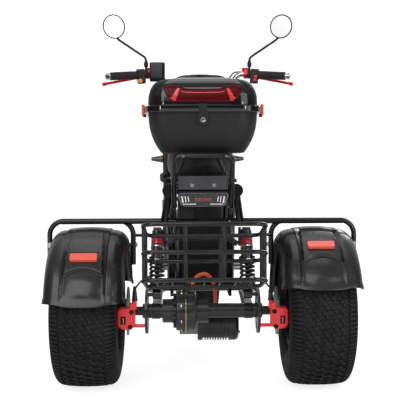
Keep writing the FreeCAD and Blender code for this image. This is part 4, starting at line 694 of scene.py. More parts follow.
def shoulder_bars(centre, depth, count):
    """Bars that run from the tread's edge over the shoulder, rounded off at their outer ends."""
    low = -depth - BAR_SINK
    reach = np.concatenate([[66.5], np.linspace(67.5, 116, 9), [117]])
    offsets = np.array([-4.4, -4.4, -3.7, 3.7, 4.4, 4.4])
    levels = np.array([low, -1.0, 0.0, 0.0, -1.0, low])
    taper = np.concatenate([[0.0], np.ones(8), [0.86], [0.0]])[None, :, None]
    sink = np.concatenate([[1.0], np.zeros(8), [0.25], [1.0]])[None, :, None]
    index = np.arange(len(reach) * len(offsets)).reshape(len(reach), -1)
    ring = np.concatenate([index, index[:, :1]], 1)
    faces = np.stack([ring[:-1, :-1], ring[:-1, 1:], ring[1:, 1:], ring[1:, :-1]], -1).reshape(-1, 4)
    around = (np.arange(count) * TURN / count)[:, None, None] + offsets * (0.35 + 0.65 * taper) / BAR_RADIUS
    height = np.broadcast_to(levels * (1 - sink) + low * sink, around.shape)
    sides = []
    for sign in (-1, 1):
        over = np.broadcast_to(sign * reach[None, :, None], around.shape)
        sides.append(repeated(on_tyre(centre, around, over, height).reshape(count, -1, 3), [faces]))
    return joined(sides)


def carcass(centre, depth, sides=192):
    """The tyre under its blocks: the section lowered where tread stands, turned about the axle, closed inside."""
    reach = np.linspace(0, PROFILE_REACH[-1], 60)
    low = depth * (1 - 1 / (1 + np.exp(-(reach - 112) / 1.6)))
    ring, out = profile_at(reach)
    rib = 0.8 * np.exp(-((reach - 138) / 2.5) ** 2) + 0.8 * np.exp(-((reach - 152) / 2.0) ** 2)
    inner = [(66, 104.4), (64, 118), (86, 140), (92, 168), (86, 200), (0, 212)]
    half = np.concatenate([ring + (rib - low)[:, None] * out, inner])
    return turned(np.concatenate([half, half[-2::-1] * (-1, 1)]), centre, RIGHT, sides)


class TRIKE_OT_tyres(bpy.types.Operator):
    """Carcass and turf tread of the three tyres"""

    bl_idname = "trike.tyres"
    bl_label = "Tyres"

    def execute(self, context):
        sizes = context.scene.trike_sizes
        depth, pitches = sizes.lug_depth / MM, sizes.tread_pitches
        for wheel in ("front", "rear_left", "rear_right"):
            centre = JOINTS[wheel + "_wheel_spin"]["pos_m"]
            shape = joined([carcass(centre, depth), tread_blocks(centre, depth, pitches),
                            shoulder_bars(centre, depth, pitches * 2)])
            piece(wheel + "_tyre_rubber", shape, wheel + "_wheel", "tyre_rubber", 34, (wheel + "_tyre",))
        return {"FINISHED"}


# Rear fenders: a section of (across, radius) turned about the axle, lifted by a relief of panel, hollow and lip

CROWN_RADIUS, CROWN_RISE, CROWN_HALF = 252, 5, 74
SHOULDER, SKIRT = 42, (207.5, 205.0, 202.0)
FENDER_HALF_ARC, FENDER_WALL = 78, 4.0


def fender_section():
    """Half of a fender's section: a crown, a round shoulder and a skirt, as (across, radius)."""
    across_top = np.linspace(0, CROWN_HALF, 50)
    crown = np.stack([across_top, CROWN_RADIUS + CROWN_RISE * (1 - (across_top / CROWN_HALF) ** 2)], -1)
    t = np.linspace(math.pi / 2, 0, 15)[1:]
    shoulder = np.stack([CROWN_HALF + SHOULDER * np.cos(t), CROWN_RADIUS - SHOULDER + SHOULDER * np.sin(t)], -1)
    skirt = np.stack([np.full(3, float(CROWN_HALF + SHOULDER)), np.array(SKIRT)], -1)
    half = np.concatenate([crown, shoulder, skirt])
    return np.concatenate([half[:0:-1] * (-1, 1), half])


def fender_relief(across_top, from_top, limit):
    """Lift of the outer face: a raised panel with ridges at its sides, a trapezoid on it, and hollows between.

    The trapezoid widens down to a hollow arc; under the arc the hollow's floor swells; the end rolls outwards.
    A thin ledge stands above the reflector, and a groove runs along each side of the panel. Angles in degrees."""
    reach = np.abs(across_top)
    crown = CROWN_RADIUS + CROWN_RISE * (1 - np.minimum(reach / CROWN_HALF, 1) ** 2)
    panel_end = soft_step(72 - from_top, 8.0)
    panel = soft_step(66 - reach, 3.0) * panel_end
    width = 44 + 10 * np.clip(from_top / 53, 0, 1)
    end = 52.5 + 3.2 * (reach / 50) ** 2
    trapezoid = soft_step(width - reach, 2.8) * soft_step(end - from_top, 1.6)
    depth = 8.0 * soft_step(from_top - 14, 30.0) * np.clip((63 - reach) / (63 - width), 0, 1)
    rise = 0.55 * soft_step(from_top - end - 1.5, 2.2) + 0.40 * soft_step(from_top - end - 5.5, 9.0)
    swell = rise * np.clip(1 - (reach / 62) ** 2, 0, 1) ** 0.6
    groove = 1.6 * np.exp(-((reach - 66.5) / 1.7) ** 2) * panel_end
    lift = panel * (261 - 4.6 * (reach / 65) ** 2 - crown) - depth * panel * (1 - trapezoid) * (1 - swell) - groove
    ledge = 0.9 * np.exp(-((from_top - 39.0) / 0.45) ** 2) * soft_step(41 - reach, 2.0)
    lip = 3.0 * soft_step(from_top - limit + 3.4, 6.0)
    return lift + ledge + lip


def fender_shell(side, turn):
    """A rear fender: its relief over the turned section outside, the plain section a wall's thickness in inside.

    Both ends of the arc draw back towards the skirts."""
    section = fender_section()
    normal = line_normals(section)
    limit = FENDER_HALF_ARC - 4.4 * np.abs(np.linspace(-1, 1, len(section))) ** 3
    steps = np.interp(np.linspace(0, 109, 110), (0, 24, 40, 48, 88, 109), (0, 36, 42, 50, 62, 78)) / FENDER_HALF_ARC
    degrees = 90 + np.concatenate([-steps[:0:-1], steps])[:, None] * limit
    lift = fender_relief(section[None, :, 0], np.abs(degrees - 90), limit)
    angle = np.radians(degrees + turn)
    faces = []
    for height in (lift, np.full_like(lift, -FENDER_WALL)):
        across_top = section[None, :, 0] + height * normal[None, :, 0]
        radius = section[None, :, 1] + height * normal[None, :, 1]
        faces.append(spot(side * TRACK_HALF + across_top, radius * np.cos(angle),
                          AXLE_HEIGHT + radius * np.sin(angle)))
    return slab(*faces)


class TRIKE_OT_fenders(bpy.types.Operator):
    """Rear fenders with a raised panel, and the bolts that hold them to the guard rail"""

    bl_idname = "trike.fenders"
    bl_label = "Rear fenders"

    def execute(self, context):
        for side, name, turn in ((-1, "left_fender", 0), (1, "right_fender", -10)):
            piece(name + "_shell", fender_shell(side, turn), "frame", "fender_black", 40, (name,))
        bolts = [bolt(spot(side * x, y, 434), way, 0.0065)
                 for side in (-1, 1) for x, y, way in ((469, -8.5, REARWARD), (205, 0, (-side, 0, 0)))]
        rack_bolts = [bolt(spot(x, -203.4, 705), REARWARD, 0.0034, 0.0014, 20) for x in (-57, 66)]
        piece("rack_bolts", joined(rack_bolts), "frame", "frame_black", 30, finish="trim_grey")
        piece("fender_bolts", joined(bolts), "frame", "fender_black", 30, finish="bolt_steel")
        return {"FINISHED"}


# Top case: level loops of one outline, drawn in by an inset that grows up the dome

CASE_HALF, CASE_REAR, CASE_FRONT, CASE_CORNER = 158, -205, 150, 60
CORNER_LOSS = 0.4  # the corner's radius shrinks by this share of the inset
LID_LOW, LID_STEP, LID_BEND, LID_TOP = 838.4, 857.4, 905, 932.0
LID_WALL, TOP_RISE = 3, 1.6
DOME_UP = (0.0, 0.28, 0.55, 0.72, 0.83, 0.90, 0.966, 1.0)
DOME_IN = (0.0, 0.87, 6.1, 13.05, 20.9, 30.45, 47.0, 69.6)
INSERT_LOW = 849
LID_BAND = [(0.6, 831.0), (-9.4, 831.0), (-10.0, 832.5), (-10.0, 846.4), (-8.6, 849.4), (-5.5, 851.2), (0.6, 852.0)]
LOCK_RING = [(0, 16.4), (8.4, 16.4), (9.4, 15.2), (9.6, 13.0), (8.6, 11.6), (8.2, 9.4), (9.2, 8.6), (9.2, 0), (0, 0)]
LOCK_BARREL = [(0, 7.8), (10.2, 7.8), (10.9, 7.0), (10.6, 3.0), (10.2, 0)]


def dome_inset(z):
    """How far the dome is drawn in at a height: the case's shares, rounded over 6 mm."""
    fine = np.linspace(LID_LOW, LID_TOP, 400)
    inward = smoothed(np.interp((fine - LID_STEP) / (LID_TOP - LID_STEP), DOME_UP, DOME_IN), 14)
    return np.interp(z, fine, inward)


def case_loop(inward, z):
    """The case's outline drawn in by an inset, at a height, as a closed row of (x, y, z)."""
    corner = max(8.0, CASE_CORNER - CORNER_LOSS * inward)
    loop = round_loop(CASE_HALF - inward, CASE_REAR + inward, CASE_FRONT - inward, corner)
    return np.column_stack([loop, np.full(len(loop), z)])


def dome_rows(grow):
    """Rows of the dome from its rim to the middle of its top, grown outwards by an offset."""
    heights = np.concatenate([np.linspace(LID_LOW, LID_BEND, 14), np.linspace(LID_BEND, LID_TOP, 16)[1:]])
    rows = [case_loop(dome_inset(z) - grow, z + grow * (z - LID_LOW) / 94) for z in heights]
    last = rows[-1]
    middle = last[:-1].mean(0)
    for share in (0.8, 0.55, 0.3, 0.0):
        rows.append(middle + (last - middle) * share + (0, 0, TOP_RISE * (1 - share ** 2)))
    return placed(np.stack(rows))


def placed(points):
    """Points of (x, y, z) in millimetres from the rear axle, as metres in the frame."""
    return spot(*np.moveaxis(points, -1, 0))


def rear_face(x, z, crown=1.0):
    """The rear of the dome at a place across and a height: flat in the middle, round at the corners, as y."""
    inward = dome_inset(z)
    middle = (CASE_REAR + CASE_FRONT) / 2
    half = (CASE_HALF - inward) * crown
    corner = (CASE_CORNER - CORNER_LOSS * inward) * crown
    rear = middle + (CASE_REAR - middle + inward) * crown
    past = np.maximum(0, np.abs(x) - (half - corner))
    return rear + corner - np.sqrt(np.maximum(0, corner ** 2 - past ** 2))


def lid_shell():
    """The dome with its wall and rim, and two hinge knuckles with their leaves."""
    outer, inner = dome_rows(0), dome_rows(-LID_WALL)
    shell = [grid(outer), grid(inner[::-1]), grid(np.stack([outer[0], inner[0]]))]
    for x in (-92, 92):
        shell += [rod(44, 5, spot(x - 22, 156, 832.5), RIGHT, 24),
                  rounded_block((0.022, 0.0035, 0.006), spot(x, 153, 836.5), 0.3)]
    return joined(shell)


def gloss_insert():
    """A strip up the dome's rear and onto its top, narrower with height and thinner at its side edges."""
    even = np.linspace(INSERT_LOW, LID_TOP, 51)
    width = smoothed(np.interp(even, (849, 892, 903, 918, 932), (143, 135, 119, 102, 87)), 4)
    heights = np.concatenate([np.linspace(INSERT_LOW, LID_BEND, 26), np.linspace(LID_BEND, LID_TOP, 26)[1:]])
    share = np.linspace(-1, 1, 91)
    x = share[None, :] * np.interp(heights, even, width)[:, None]
    z = np.broadcast_to(heights[:, None], x.shape)
    face = [np.stack([x, rear_face(x, z), z], -1)]
    for crown in (0.97, 0.9, 0.8):
        top_x, top = share * (87 * crown - 6), np.full(len(share), LID_TOP)
        row = np.stack([top_x, rear_face(top_x, top, crown), top + TOP_RISE * (1 - crown ** 2)], -1)
        face.append(row[None])
    face = placed(np.concatenate(face))
    edge = np.minimum(1, 4.5 * (1 - np.abs(share)))
    outwards = (0, -1, 0.3)
    return slab(raised(face, (0.2 + 1.0 * edge) * MM, outwards), raised(face, -0.9 * MM, outwards))


def lens_edges(x):
    """Lower and upper edge of the lens across the dome's rear, heights in millimetres."""
    reach = np.abs(x)
    fine = np.linspace(0, 112, 225)
    low = smoothed(np.interp(fine, (0, 84, 104, 111, 112), (0, 0, 18, 34, 39)), 8)
    high = smoothed(np.interp(fine, (0, 46, 80, 97, 107, 111, 112), (35, 36, 45, 45, 40, 34, 33)), 8)
    return 856 + np.interp(reach, fine, low), 862 + np.interp(reach, fine, high)


def lens_strip(x, share_low, share_high, depth, steps=17):
    """A domed patch on the dome's rear between two shares of the lens's height; depth is its rise, millimetres."""
    low, high = lens_edges(x)
    z = low + (high - low) * np.linspace(share_low, share_high, steps)[:, None]
    inner = spot(np.broadcast_to(x, z.shape), rear_face(x, z) + 1.5, z)
    bulge = (1 - np.abs(np.linspace(-1, 1, steps)) ** 4)[:, None]
    return slab(raised(inner, (1.5 + depth * bulge) * MM, REARWARD), inner)


def lens_wedge(side):
    """A bright wedge inside the lens, which narrows and leans inwards as it rises."""
    share = np.linspace(0.1, 0.82, 19)[:, None]
    lean = np.linspace(-1, 1, 9)[None, :]
    x = side * (88 - 23 * share + lean * (8.5 - 6 * share))
    low, high = lens_edges(x)
    z = low + (high - low) * share
    flat = spot(x, rear_face(x, z), z)
    return slab(raised(flat, 5.0 * MM, REARWARD), raised(flat, 2.5 * MM, REARWARD))


class TRIKE_OT_top_case(bpy.types.Operator):
    """Lid shell with its gloss insert, band, lens, markers and hinge, and the lock on the base"""

    bl_idname = "trike.top_case"
    bl_label = "Top case"

    def execute(self, context):
        piece("lid_shell", lid_shell(), "case_lid", "fender_black", 40, ("case_lid",), "case_matt")
        piece("lid_gloss_insert", gloss_insert(), "case_lid", "fender_black", 40, finish="case_gloss")
        rows = np.stack([case_loop(inward, z) for inward, z in LID_BAND + LID_BAND[:1]])
        piece("lid_band", grid(placed(rows)), "case_lid", "fender_black", 24, finish="case_gloss")
        catch = rounded_block((0.0115, 0.0032, 0.0105), spot(0, -215.4, 842.5), 0.4)
        piece("lid_catch", catch, "case_lid", "plastic_black", 40)

        lens_x = np.concatenate([[-112], np.linspace(-111.6, 111.6, 121), [112]])
        lens = lens_strip(lens_x, 0.0, 1.0, 3.2)
        piece("lid_lens", lens, "case_lid", "reflector_red", 40, ("lid_reflector",), "lens_red")
        piece("lens_wedges", both(lens_wedge), "case_lid", "reflector_red", 40, finish="lens_bright")
        rib = lens_strip(np.linspace(-62, 62, 41), 0.62, 0.72, 3.9, 7)
        piece("lens_rib", rib, "case_lid", "reflector_red", 40, finish="lens_bright")
        markers = both(lambda side: rounded_block((0.0045, 0.013, 0.0165), spot(side * 172.8, -134, 839.5), 0.6))
        piece("side_markers", markers, "case_lid", "reflector_red", 40, finish="lens_orange")
        stubs = both(lambda side: rounded_block((0.005, 0.008, 0.005), spot(side * 169, -134, 824)))
        piece("marker_stubs", stubs, "case_lid", "plastic_black", 40)

        lock = spot(0, CASE_REAR, 808)
        piece("lock_ring", turned(LOCK_RING, lock, REARWARD, 48), "frame", "plastic_black", 30)
        barrel = turned(LOCK_BARREL, lock, REARWARD, 32)
        piece("lock_barrel", barrel, "frame", "plastic_black", 30, finish="bolt_steel")
        key_slot = rounded_block((0.0011, 0.0006, 0.0042), spot(0, -216.1, 808), steps=3)
        piece("key_slot", key_slot, "frame", "plastic_black", 40)
        return {"FINISHED"}


# Cushions: a closed form a little too small, blown up as cloth, then piping laid on it

SEAT_Y, SEAT_Z, PAD_Y, PAD_Z = 406, 683, 155, 919
SEAT_HALF, PAD_HALF = (121, 224, 42), (93, 31, 51)
SEAT_FLOOR = 634.3
STEP_Y, STEP_SOFT = 262, 84.0  # the seat's rear stands higher, behind a soft step
VOXEL, PRESSURE, CLOTH_FRAMES = 0.005, 4.0, 20


def squared_loop(middle, half, powers, count):
    """A closed outline from an ellipse: middle + half * cos t and sin t, each to a power with its sign kept."""
    t = np.linspace(0, TURN, count, endpoint=False)
    return [centre + size * np.sign(wave) * np.abs(wave) ** power
            for centre, size, wave, power in zip(middle, half, (np.cos(t), np.sin(t)), powers)]


def rear_step(y):
    """1 at the seat's rear and 0 at its front, with a soft step between."""
    return 1 - soft_step(y - STEP_Y, STEP_SOFT)


def side_loft(profile, half, steps, rounding):
    """A closed form from a side outline (k, 2) of (y, z): at each x the outline shrinks to its middle by a rounding."""
    middle = (profile.max(0) + profile.min(0)) / 2
    share = np.linspace(-1, 1, steps)
    shrink = (1 - np.abs(share) ** rounding) ** (1 / rounding)
    rows = middle + (profile - middle)[None] * (0.001 + 0.999 * shrink)[:, None, None]
    rows = np.concatenate([rows, rows[:, :1]], 1)
    x = np.broadcast_to((share * half)[:, None], rows.shape[:2])
    loft = spot(x, rows[..., 0], rows[..., 1])
    ends = loft[[0, -1]].mean(1, keepdims=True).repeat(loft.shape[1], 1)
    return grid(np.concatenate([ends[:1], loft, ends[1:]]))


def evaluated(made):
    """A new mesh of an object with its modifiers applied, and its points."""
    mesh = bpy.data.meshes.new_from_object(made.evaluated_get(bpy.context.evaluated_depsgraph_get()))
    points = np.empty(len(mesh.vertices) * 3, np.float32)
    mesh.vertices.foreach_get("co", points)
    return mesh, points.reshape(-1, 3).astype(float)


def blown_up(made, swell, floor):
    """Remesh an object at 5 mm, blow it up as cloth, cap each point's way and keep all points above a floor."""
    scene = bpy.context.scene
    remesh = made.modifiers.new("remesh", "REMESH")
    remesh.mode = "VOXEL"
    remesh.voxel_size = VOXEL
    bpy.context.view_layer.update()
    even, start = evaluated(made)
    made.modifiers.remove(remesh)
    made.data = even
    cloth = made.modifiers.new("cloth", "CLOTH")
    cloth.settings.use_pressure = True
    cloth.settings.uniform_pressure_force = PRESSURE
    cloth.settings.quality = 5
    cloth.settings.effector_weights.gravity = 0.0
    cloth.point_cache.frame_start, cloth.point_cache.frame_end = 1, CLOTH_FRAMES
    for step in range(1, CLOTH_FRAMES + 1):
        scene.frame_set(step)
    blown, end = evaluated(made)
    made.modifiers.remove(cloth)
    scene.frame_set(1)
    way = end - start
    way -= way.mean(0)
    length = np.linalg.norm(way, axis=1, keepdims=True)
    end = start + way * np.minimum(1, swell / np.maximum(length, 1e-9))
    end[:, 2] = np.maximum(end[:, 2], floor)
    finish = made.data.materials[0]
    made.data = blown
    blown.vertices.foreach_set("co", end.astype(np.float32).ravel())
    blown.update()
    blown.shade_smooth()
    blown.materials.clear()
    blown.materials.append(finish)


def cushion(name, shape, body, node, swell, floor=0.0):
    made = piece(name, shape, body, SLOT_OF[node], 60, (node,))
    blown_up(made, swell, floor)
    soft = made.modifiers.new("soft", "SUBSURF")
    soft.levels = soft.render_levels = 1
    return made


def piping(name, owner, route, body, radius):
    """A round cord laid on the owner's surface along a closed route: each point drops to the nearest surface point."""
    surface = BVHTree.FromObject(owner, bpy.context.evaluated_depsgraph_get())
    found = [surface.find_nearest(Vector(point))[:2] for point in route]
    path = np.array([list(place) for place, _ in found])
    out = np.array([list(normal) for _, normal in found])
    for _ in range(4):
        path = (np.roll(path, 1, 0) + 2 * path + np.roll(path, -1, 0)) / 4
    path = path + out * radius * 0.35
    way = unit(np.roll(path, -1, 0) - np.roll(path, 1, 0))
    side = unit(np.cross(way, out))
    top = np.cross(side, way)
    t = np.linspace(0, TURN, 9)[None, :, None]
    ring = path[:, None] + radius * (np.cos(t) * side[:, None] + np.sin(t) * top[:, None])
    return piece(name, grid(np.concatenate([ring, ring[:1]])), body, "seat_vinyl", 60)


class TRIKE_OT_cushions(bpy.types.Operator):
    """Seat and backrest pad: padded, with piping round their edges"""

    bl_idname = "trike.cushions"
    bl_label = "Cushions"

    def execute(self, context):
        swell = context.scene.trike_sizes.cushion_swell
        y, z = squared_loop((SEAT_Y, SEAT_Z), SEAT_HALF[1:], (0.28, 0.45), 72)
        upper = np.clip((z - SEAT_Z) / SEAT_HALF[2], 0, 1)
        form = side_loft(np.stack([y, z + 26 * rear_step(y) * upper], -1), SEAT_HALF[0], 49, 4.2)
        seat = cushion("seat_cushion", form, "frame", "seat", swell, SEAT_FLOOR * MM)
        x, y = squared_loop((0, SEAT_Y), (126, 230), (0.35, 0.35), 120)
        piping("seat_piping_upper", seat, spot(x, y, 722 + 18 * rear_step(y)), "frame", 0.0022)
        piping("seat_piping_lower", seat, spot(x, y, 652), "frame", 0.0022)
        y, z = squared_loop((PAD_Y, PAD_Z), PAD_HALF[1:], (0.5, 0.4), 60)
        form = side_loft(np.stack([y, z], -1), PAD_HALF[0], 37, 4.0)
        pad = cushion("backrest_cushion", form, "case_lid", "backrest_pad", swell * 0.6)
        x, z = squared_loop((0, PAD_Z), (97, 56), (0.4, 0.4), 80)
        piping("pad_piping_front", pad, spot(x, 176, z), "case_lid", 0.0020)
        piping("pad_piping_rear", pad, spot(x, 134, z), "case_lid", 0.0020)
        return {"FINISHED"}


# Handlebar, mirrors and lamps

BAR_END, BAR_WAY = (360, 824.2, 1037.1), (0.973, 0.220, 0.070)
MIRROR_MIDDLE, MIRROR_TURN = (343, 847.8, 1239.8), math.radians(28)
MIRROR_BACK = [(8.4, 0), (8.4, 46.5), (5, 46.0), (0, 43.5), (-5, 38), (-8.5, 29), (-10.5, 17), (-11.2, 0)]
MIRROR_GLASS = [(8.0, 0), (8.0, 44.6), (9.0, 44.2), (9.7, 30), (10.0, 0)]
ARM_CLAMP = [(0, 11.5), (0, 16.2), (1, 17), (12, 17), (13, 16.2), (13, 11.5), (0, 11.5)]
ARM_BOOT = [(0, 0), (0, 6.2), (3, 8.6), (9, 9.0), (17, 9.0), (20, 6.6), (27, 5.6), (27, 0)]
END_CAP = [(-15.6, 0), (-15.2, 5.0), (-13.6, 8.6), (-10.0, 11.2), (-1.0, 12.6), (3.0, 13.6), (5.6, 13.6), (5.6, 0)]
CUP_LID = [(0, 0), (0, 14.6), (2.6, 14.6), (3.6, 13.4), (3.6, 0)]
HEADLIGHT_BOWL = [(46.5, 0), (44.5, 30), (45.5, 55), (47.2, 70), (44, 70), (44, 0)]
HEADLIGHT_GLASS = [(48.0, 74.0), (52.0, 66), (55.0, 45), (56.5, 20), (57, 0), (55.4, 0), (55.0, 20), (53.4, 45),
                   (50.4, 65), (46.8, 73.0), (48.0, 74.0)]
SIGNAL_TIP = [(0, 0), (0, 15.6), (6, 15.8), (20, 12.6), (34, 9.2), (34, 0)]


def along_bar(side, reach):
    """A place on the grip's line, counted inwards from the bar's end, and the direction inwards."""
    inwards = np.array(BAR_WAY) * (-side, 1, 1)
    return sided(side, BAR_END) + inwards * reach * MM, inwards


def mirror_axis(side):
    """The middle of a mirror and the way its glass looks: rearwards, turned inwards."""
    return sided(side, MIRROR_MIDDLE), np.array([-side * math.sin(MIRROR_TURN), -math.cos(MIRROR_TURN), 0])


def grip(side):
    """A grip as a turned tube: ribs in its middle and a flange at its inner end."""
    along = np.linspace(0, 110, 221)
    ribs = 16.0 + 0.9 * (np.sin(along * TURN / 5.0) > 0) * (np.abs(along - 52) < 42)
    ribs = ribs + 2.6 * np.exp(-((along - 108) / 2.0) ** 2) + 0.8 * np.exp(-((along - 2) / 2.5) ** 2)
    profile = np.column_stack([along, ribs])
    return turned(np.concatenate([profile, [(110, 11.6), (0, 11.6)], profile[:1]]), *along_bar(side, 5.8))


def mirror_arm(side):
    """A mirror's shell and its clamp, boot and arm: the arm's seven corners rounded by a bell."""
    head, face = mirror_axis(side)
    clamp, inwards = along_bar(side, 146.6)
    foot = clamp + inwards * 6.5 * MM
    rising = [(0, 0, 0.012), (0, 0, 0.030), (0, 0, 0.058), (side * 0.004, 0, 0.070)]
    leaning = [(0.012, 0.030, 0.053), (0.010, 0.020, 0.045), (0.009, 0.012, 0.032)]
    corners = np.array([foot + step for step in rising]
                       + [head - face * behind + (-side * inside, 0, -below) for behind, inside, below in leaning])
    share = np.array([0, 1.2, 2.6, 3.3, 9.0, 9.6, 10.2])
    fine = np.linspace(0, share[-1], 103)
    line = np.stack([smoothed(np.interp(fine, share, corners[:, k]), 4) for k in range(3)], -1)
    return joined([turned(MIRROR_BACK, head, face, 64), turned(ARM_CLAMP, clamp, inwards, 32),
                   turned(ARM_BOOT, foot + (0, 0, 0.030), UP, 24), wire(line, 0.0046, 14)])


class TRIKE_OT_controls(bpy.types.Operator):
    """Mirrors and their arms, ribbed grips, caps, buttons, screen, and the glass of headlight and indicators"""

    bl_idname = "trike.controls"
    bl_label = "Controls, mirrors and lamps"

    def execute(self, context):
        for side, node in ((-1, "left_mirror"), (1, "right_mirror")):
            piece(node + "_arm", mirror_arm(side), "fork", "plastic_black", 34, (node,))
        piece("ribbed_grips", both(grip), "fork", "grip_rubber", 40, ("grips",))
        lids = both(lambda side: turned(CUP_LID, spot(side * 197.1, 894.9, 1074.8), UP, 32))
        piece("cup_lids", lids, "fork", "lever_red", 40, finish="button_red")
        caps = both(lambda side: turned(END_CAP, *along_bar(side, 0), 32))
        piece("bar_end_caps", caps, "fork", "bar_chrome", 40, finish="bolt_steel")
        t = np.linspace(0, TURN, 13)
        ring = np.column_stack([8.6 + 2.7 * np.cos(t), 46.2 + 2.7 * np.sin(t)])
        piece("mirror_rings", both(lambda side: turned(ring, *mirror_axis(side), 64)), "fork", "plastic_black", 40)
        glasses = both(lambda side: turned(MIRROR_GLASS, *mirror_axis(side), 64))
        piece("mirror_glasses", glasses, "fork", "plastic_black", 40, finish="mirror_glass")

        buttons = [rounded_block((0.0068, 0.0035, 0.0048), spot(x, 823.5, z), 0.6)
                   for x, z in ((233, 1036), (231, 1023))]
        piece("red_buttons", joined(buttons), "fork", "lever_red", 40, finish="button_red")
        button = rounded_block((0.0085, 0.0035, 0.0075), spot(-233, 823.5, 1019), 0.6)
        piece("orange_button", button, "fork", "plastic_black", 40, finish="button_orange")
        low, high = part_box("display")
        screen = rounded_block((0.0265, 0.0011, 0.0345), (low[0] + 0.031, low[1] - 0.0002, high[2] - 0.039), 0.9)
        piece("display_screen", screen, "fork", "plastic_black", 40, finish="screen")

        lamp = spot(0, 1150.1, 765.5)
        bowl, glass = (turned(profile, lamp, AHEAD, 64) for profile in (HEADLIGHT_BOWL, HEADLIGHT_GLASS))
        piece("headlight_bowl", bowl, "fork", "lamp_clear", 40, finish="lamp_chrome")
        piece("headlight_glass", glass, "fork", "lamp_clear", 40)
        tips = both(lambda side: turned(SIGNAL_TIP, spot(side * 150, 1046.5, 704.8), (side, 0, 0), 32))
        piece("signal_lenses", tips, "fork", "signal_black", 40, finish="amber_smoke")
        return {"FINISHED"}


TAIL_HEIGHT, TAIL_FACE = 580, -171.0
TAIL_OUTLINE = np.array([(-70, 19), (-73, 13), (-64, -14), (-56, -19), (56, -19), (64, -14), (73, 13), (70, 19)], float)


def light_guides(side):
    """Three upright bars and a level one behind the lamp's cover, on one side."""
    bars = []
    for x, low, high, radius in ((60, 571, 590, 0.0024), (51, 573, 590, 0.0016), (43, 574, 589, 0.0016)):
        line = spot(side * (x + np.linspace(-1.5, 1.0, 9)), TAIL_FACE, np.linspace(low, high, 9))
        bars.append(wire(line, radius))
    bars.append(wire(spot(side * np.linspace(58, 20, 13), TAIL_FACE, 567), 0.0014))
    return joined(bars)


class TRIKE_OT_tail_lamp(bpy.types.Operator):
    """Tail lamp: dark housing, grey frame, white light guides, red middle and a clear cover; bolts of the plate"""

    bl_idname = "trike.tail_lamp"
    bl_label = "Tail lamp and plate"

    def execute(self, context):
        housing = set_down(prism(TAIL_OUTLINE * MM, 0.036, 0.004), spot(0, -134, TAIL_HEIGHT), REARWARD)
        piece("tail_housing", housing, "frame", "lamp_clear", 30, ("tail_light",), "screen")
        t = np.linspace(0, 1, 16, endpoint=False)[:, None]
        path = np.concatenate([a + (b - a) * t for a, b in zip(TAIL_OUTLINE, np.roll(TAIL_OUTLINE, -1, 0))])
        ring = spot(path[:, 0] * 0.98, TAIL_FACE, TAIL_HEIGHT + path[:, 1] * 0.98)
        frame_ring = wire(np.concatenate([ring, ring[:2]]), 0.0013)
        piece("tail_frame", frame_ring, "frame", "lamp_clear", 60, finish="trim_grey")
        piece("light_guides", both(light_guides), "frame", "lamp_clear", 60, finish="light_guide")
        middle = rounded_block((0.025, 0.0022, 0.0045), spot(0, -170.6, TAIL_HEIGHT), 0.6)
        piece("tail_red", middle, "frame", "reflector_red", 40, finish="lens_dark")
        wave = np.linspace(-1, 1, 31)
        x, z = np.meshgrid(wave * 71, wave * 17.5 + TAIL_HEIGHT, indexing="xy")
        x = x * (0.93 + 0.07 * (z - 562) / 36)
        cover = spot(x, TAIL_FACE - 0.5 - 4.0 * (1 - wave[None, :] ** 6) * (1 - wave[:, None] ** 6), z)
        piece("tail_cover", slab(cover, cover + (0, 0.0012, 0)), "frame", "lamp_clear", 60, finish="clear_cover")
        bolts = both(lambda side: bolt(spot(side * 32, -161.0, 621), REARWARD, 0.0048, sides=20))
        piece("plate_bolts", bolts, "frame", "plate_grey", 30, finish="bolt_steel")
        return {"FINISHED"}


# Running gear

SPRING_CUP = [(112, 0), (112, 23.0), (115, 23.6), (119, 19.0), (147, 19.0), (147, 0)]
SLEEVE = [(147, 0), (147, 18.6), (149, 19.4), (176, 19.4), (178, 18.4), (178, 0)]
TANK = [(-32, 0), (-32, 10), (-29, 12.6), (29, 12.6), (32, 10), (32, 0)]
CALIPER = np.array([(220, 267), (220, 253), (236, 252), (249, 250), (255, 244), (255.5, 203), (252, 194), (243, 188.5),
                    (226, 186.8), (214, 189), (213, 200), (206.5, 240), (204, 253), (204, 267)], float)
HOSE_BOOT = [(0, 0), (0, 9.5), (5, 9.0), (8, 7.6), (12, 8.4), (18, 6.8), (23, 7.4), (30, 5.8), (42, 4.6), (46, 0)]
GASKET = [(-1.2, 60), (-1.2, 66.9), (1.0, 66.9), (1.0, 60), (-1.2, 60)]
HUB_CAP = [(-1, 0), (-1, 20), (3, 19), (4.5, 15), (5, 0)]
SHOCK_LOW, SHOCK_HIGH, TANK_MIDDLE = (141, -8, 280), (141, 66, 470), (141, -12, 408)
SPRING_TURNS, SPRING_RADIUS, SPRING_WIRE = 6.6, 0.021, 0.004


def shock_axis(side):
    """The lower end of a shock and its direction."""
    low, high = sided(side, SHOCK_LOW), sided(side, SHOCK_HIGH)
    return low, unit(high - low)


def tank_axis(side):
    """The middle of a shock's tank and its direction, that of the shock."""
    return sided(side, TANK_MIDDLE), shock_axis(side)[1]


def spring(side):
    """A coil closed up a little at its ends, wound about the shock's line, with its cup and the tank."""
    low, way = shock_axis(side)
    side_way, up_way = across(way, AHEAD)
    t = np.linspace(0, 1, 289)
    along = 0.0225 + 0.0845 * (soft_step(t - 0.5, 1.0) * 0.12 + t * 0.88)
    angle = (t * SPRING_TURNS * TURN)[:, None]
    path = low + along[:, None] * way + SPRING_RADIUS * (np.cos(angle) * side_way + np.sin(angle) * up_way)
    return joined([sweep(path, circle(SPRING_WIRE, 12), way), turned(SPRING_CUP, low, way),
                   turned(TANK, *tank_axis(side), 32)])


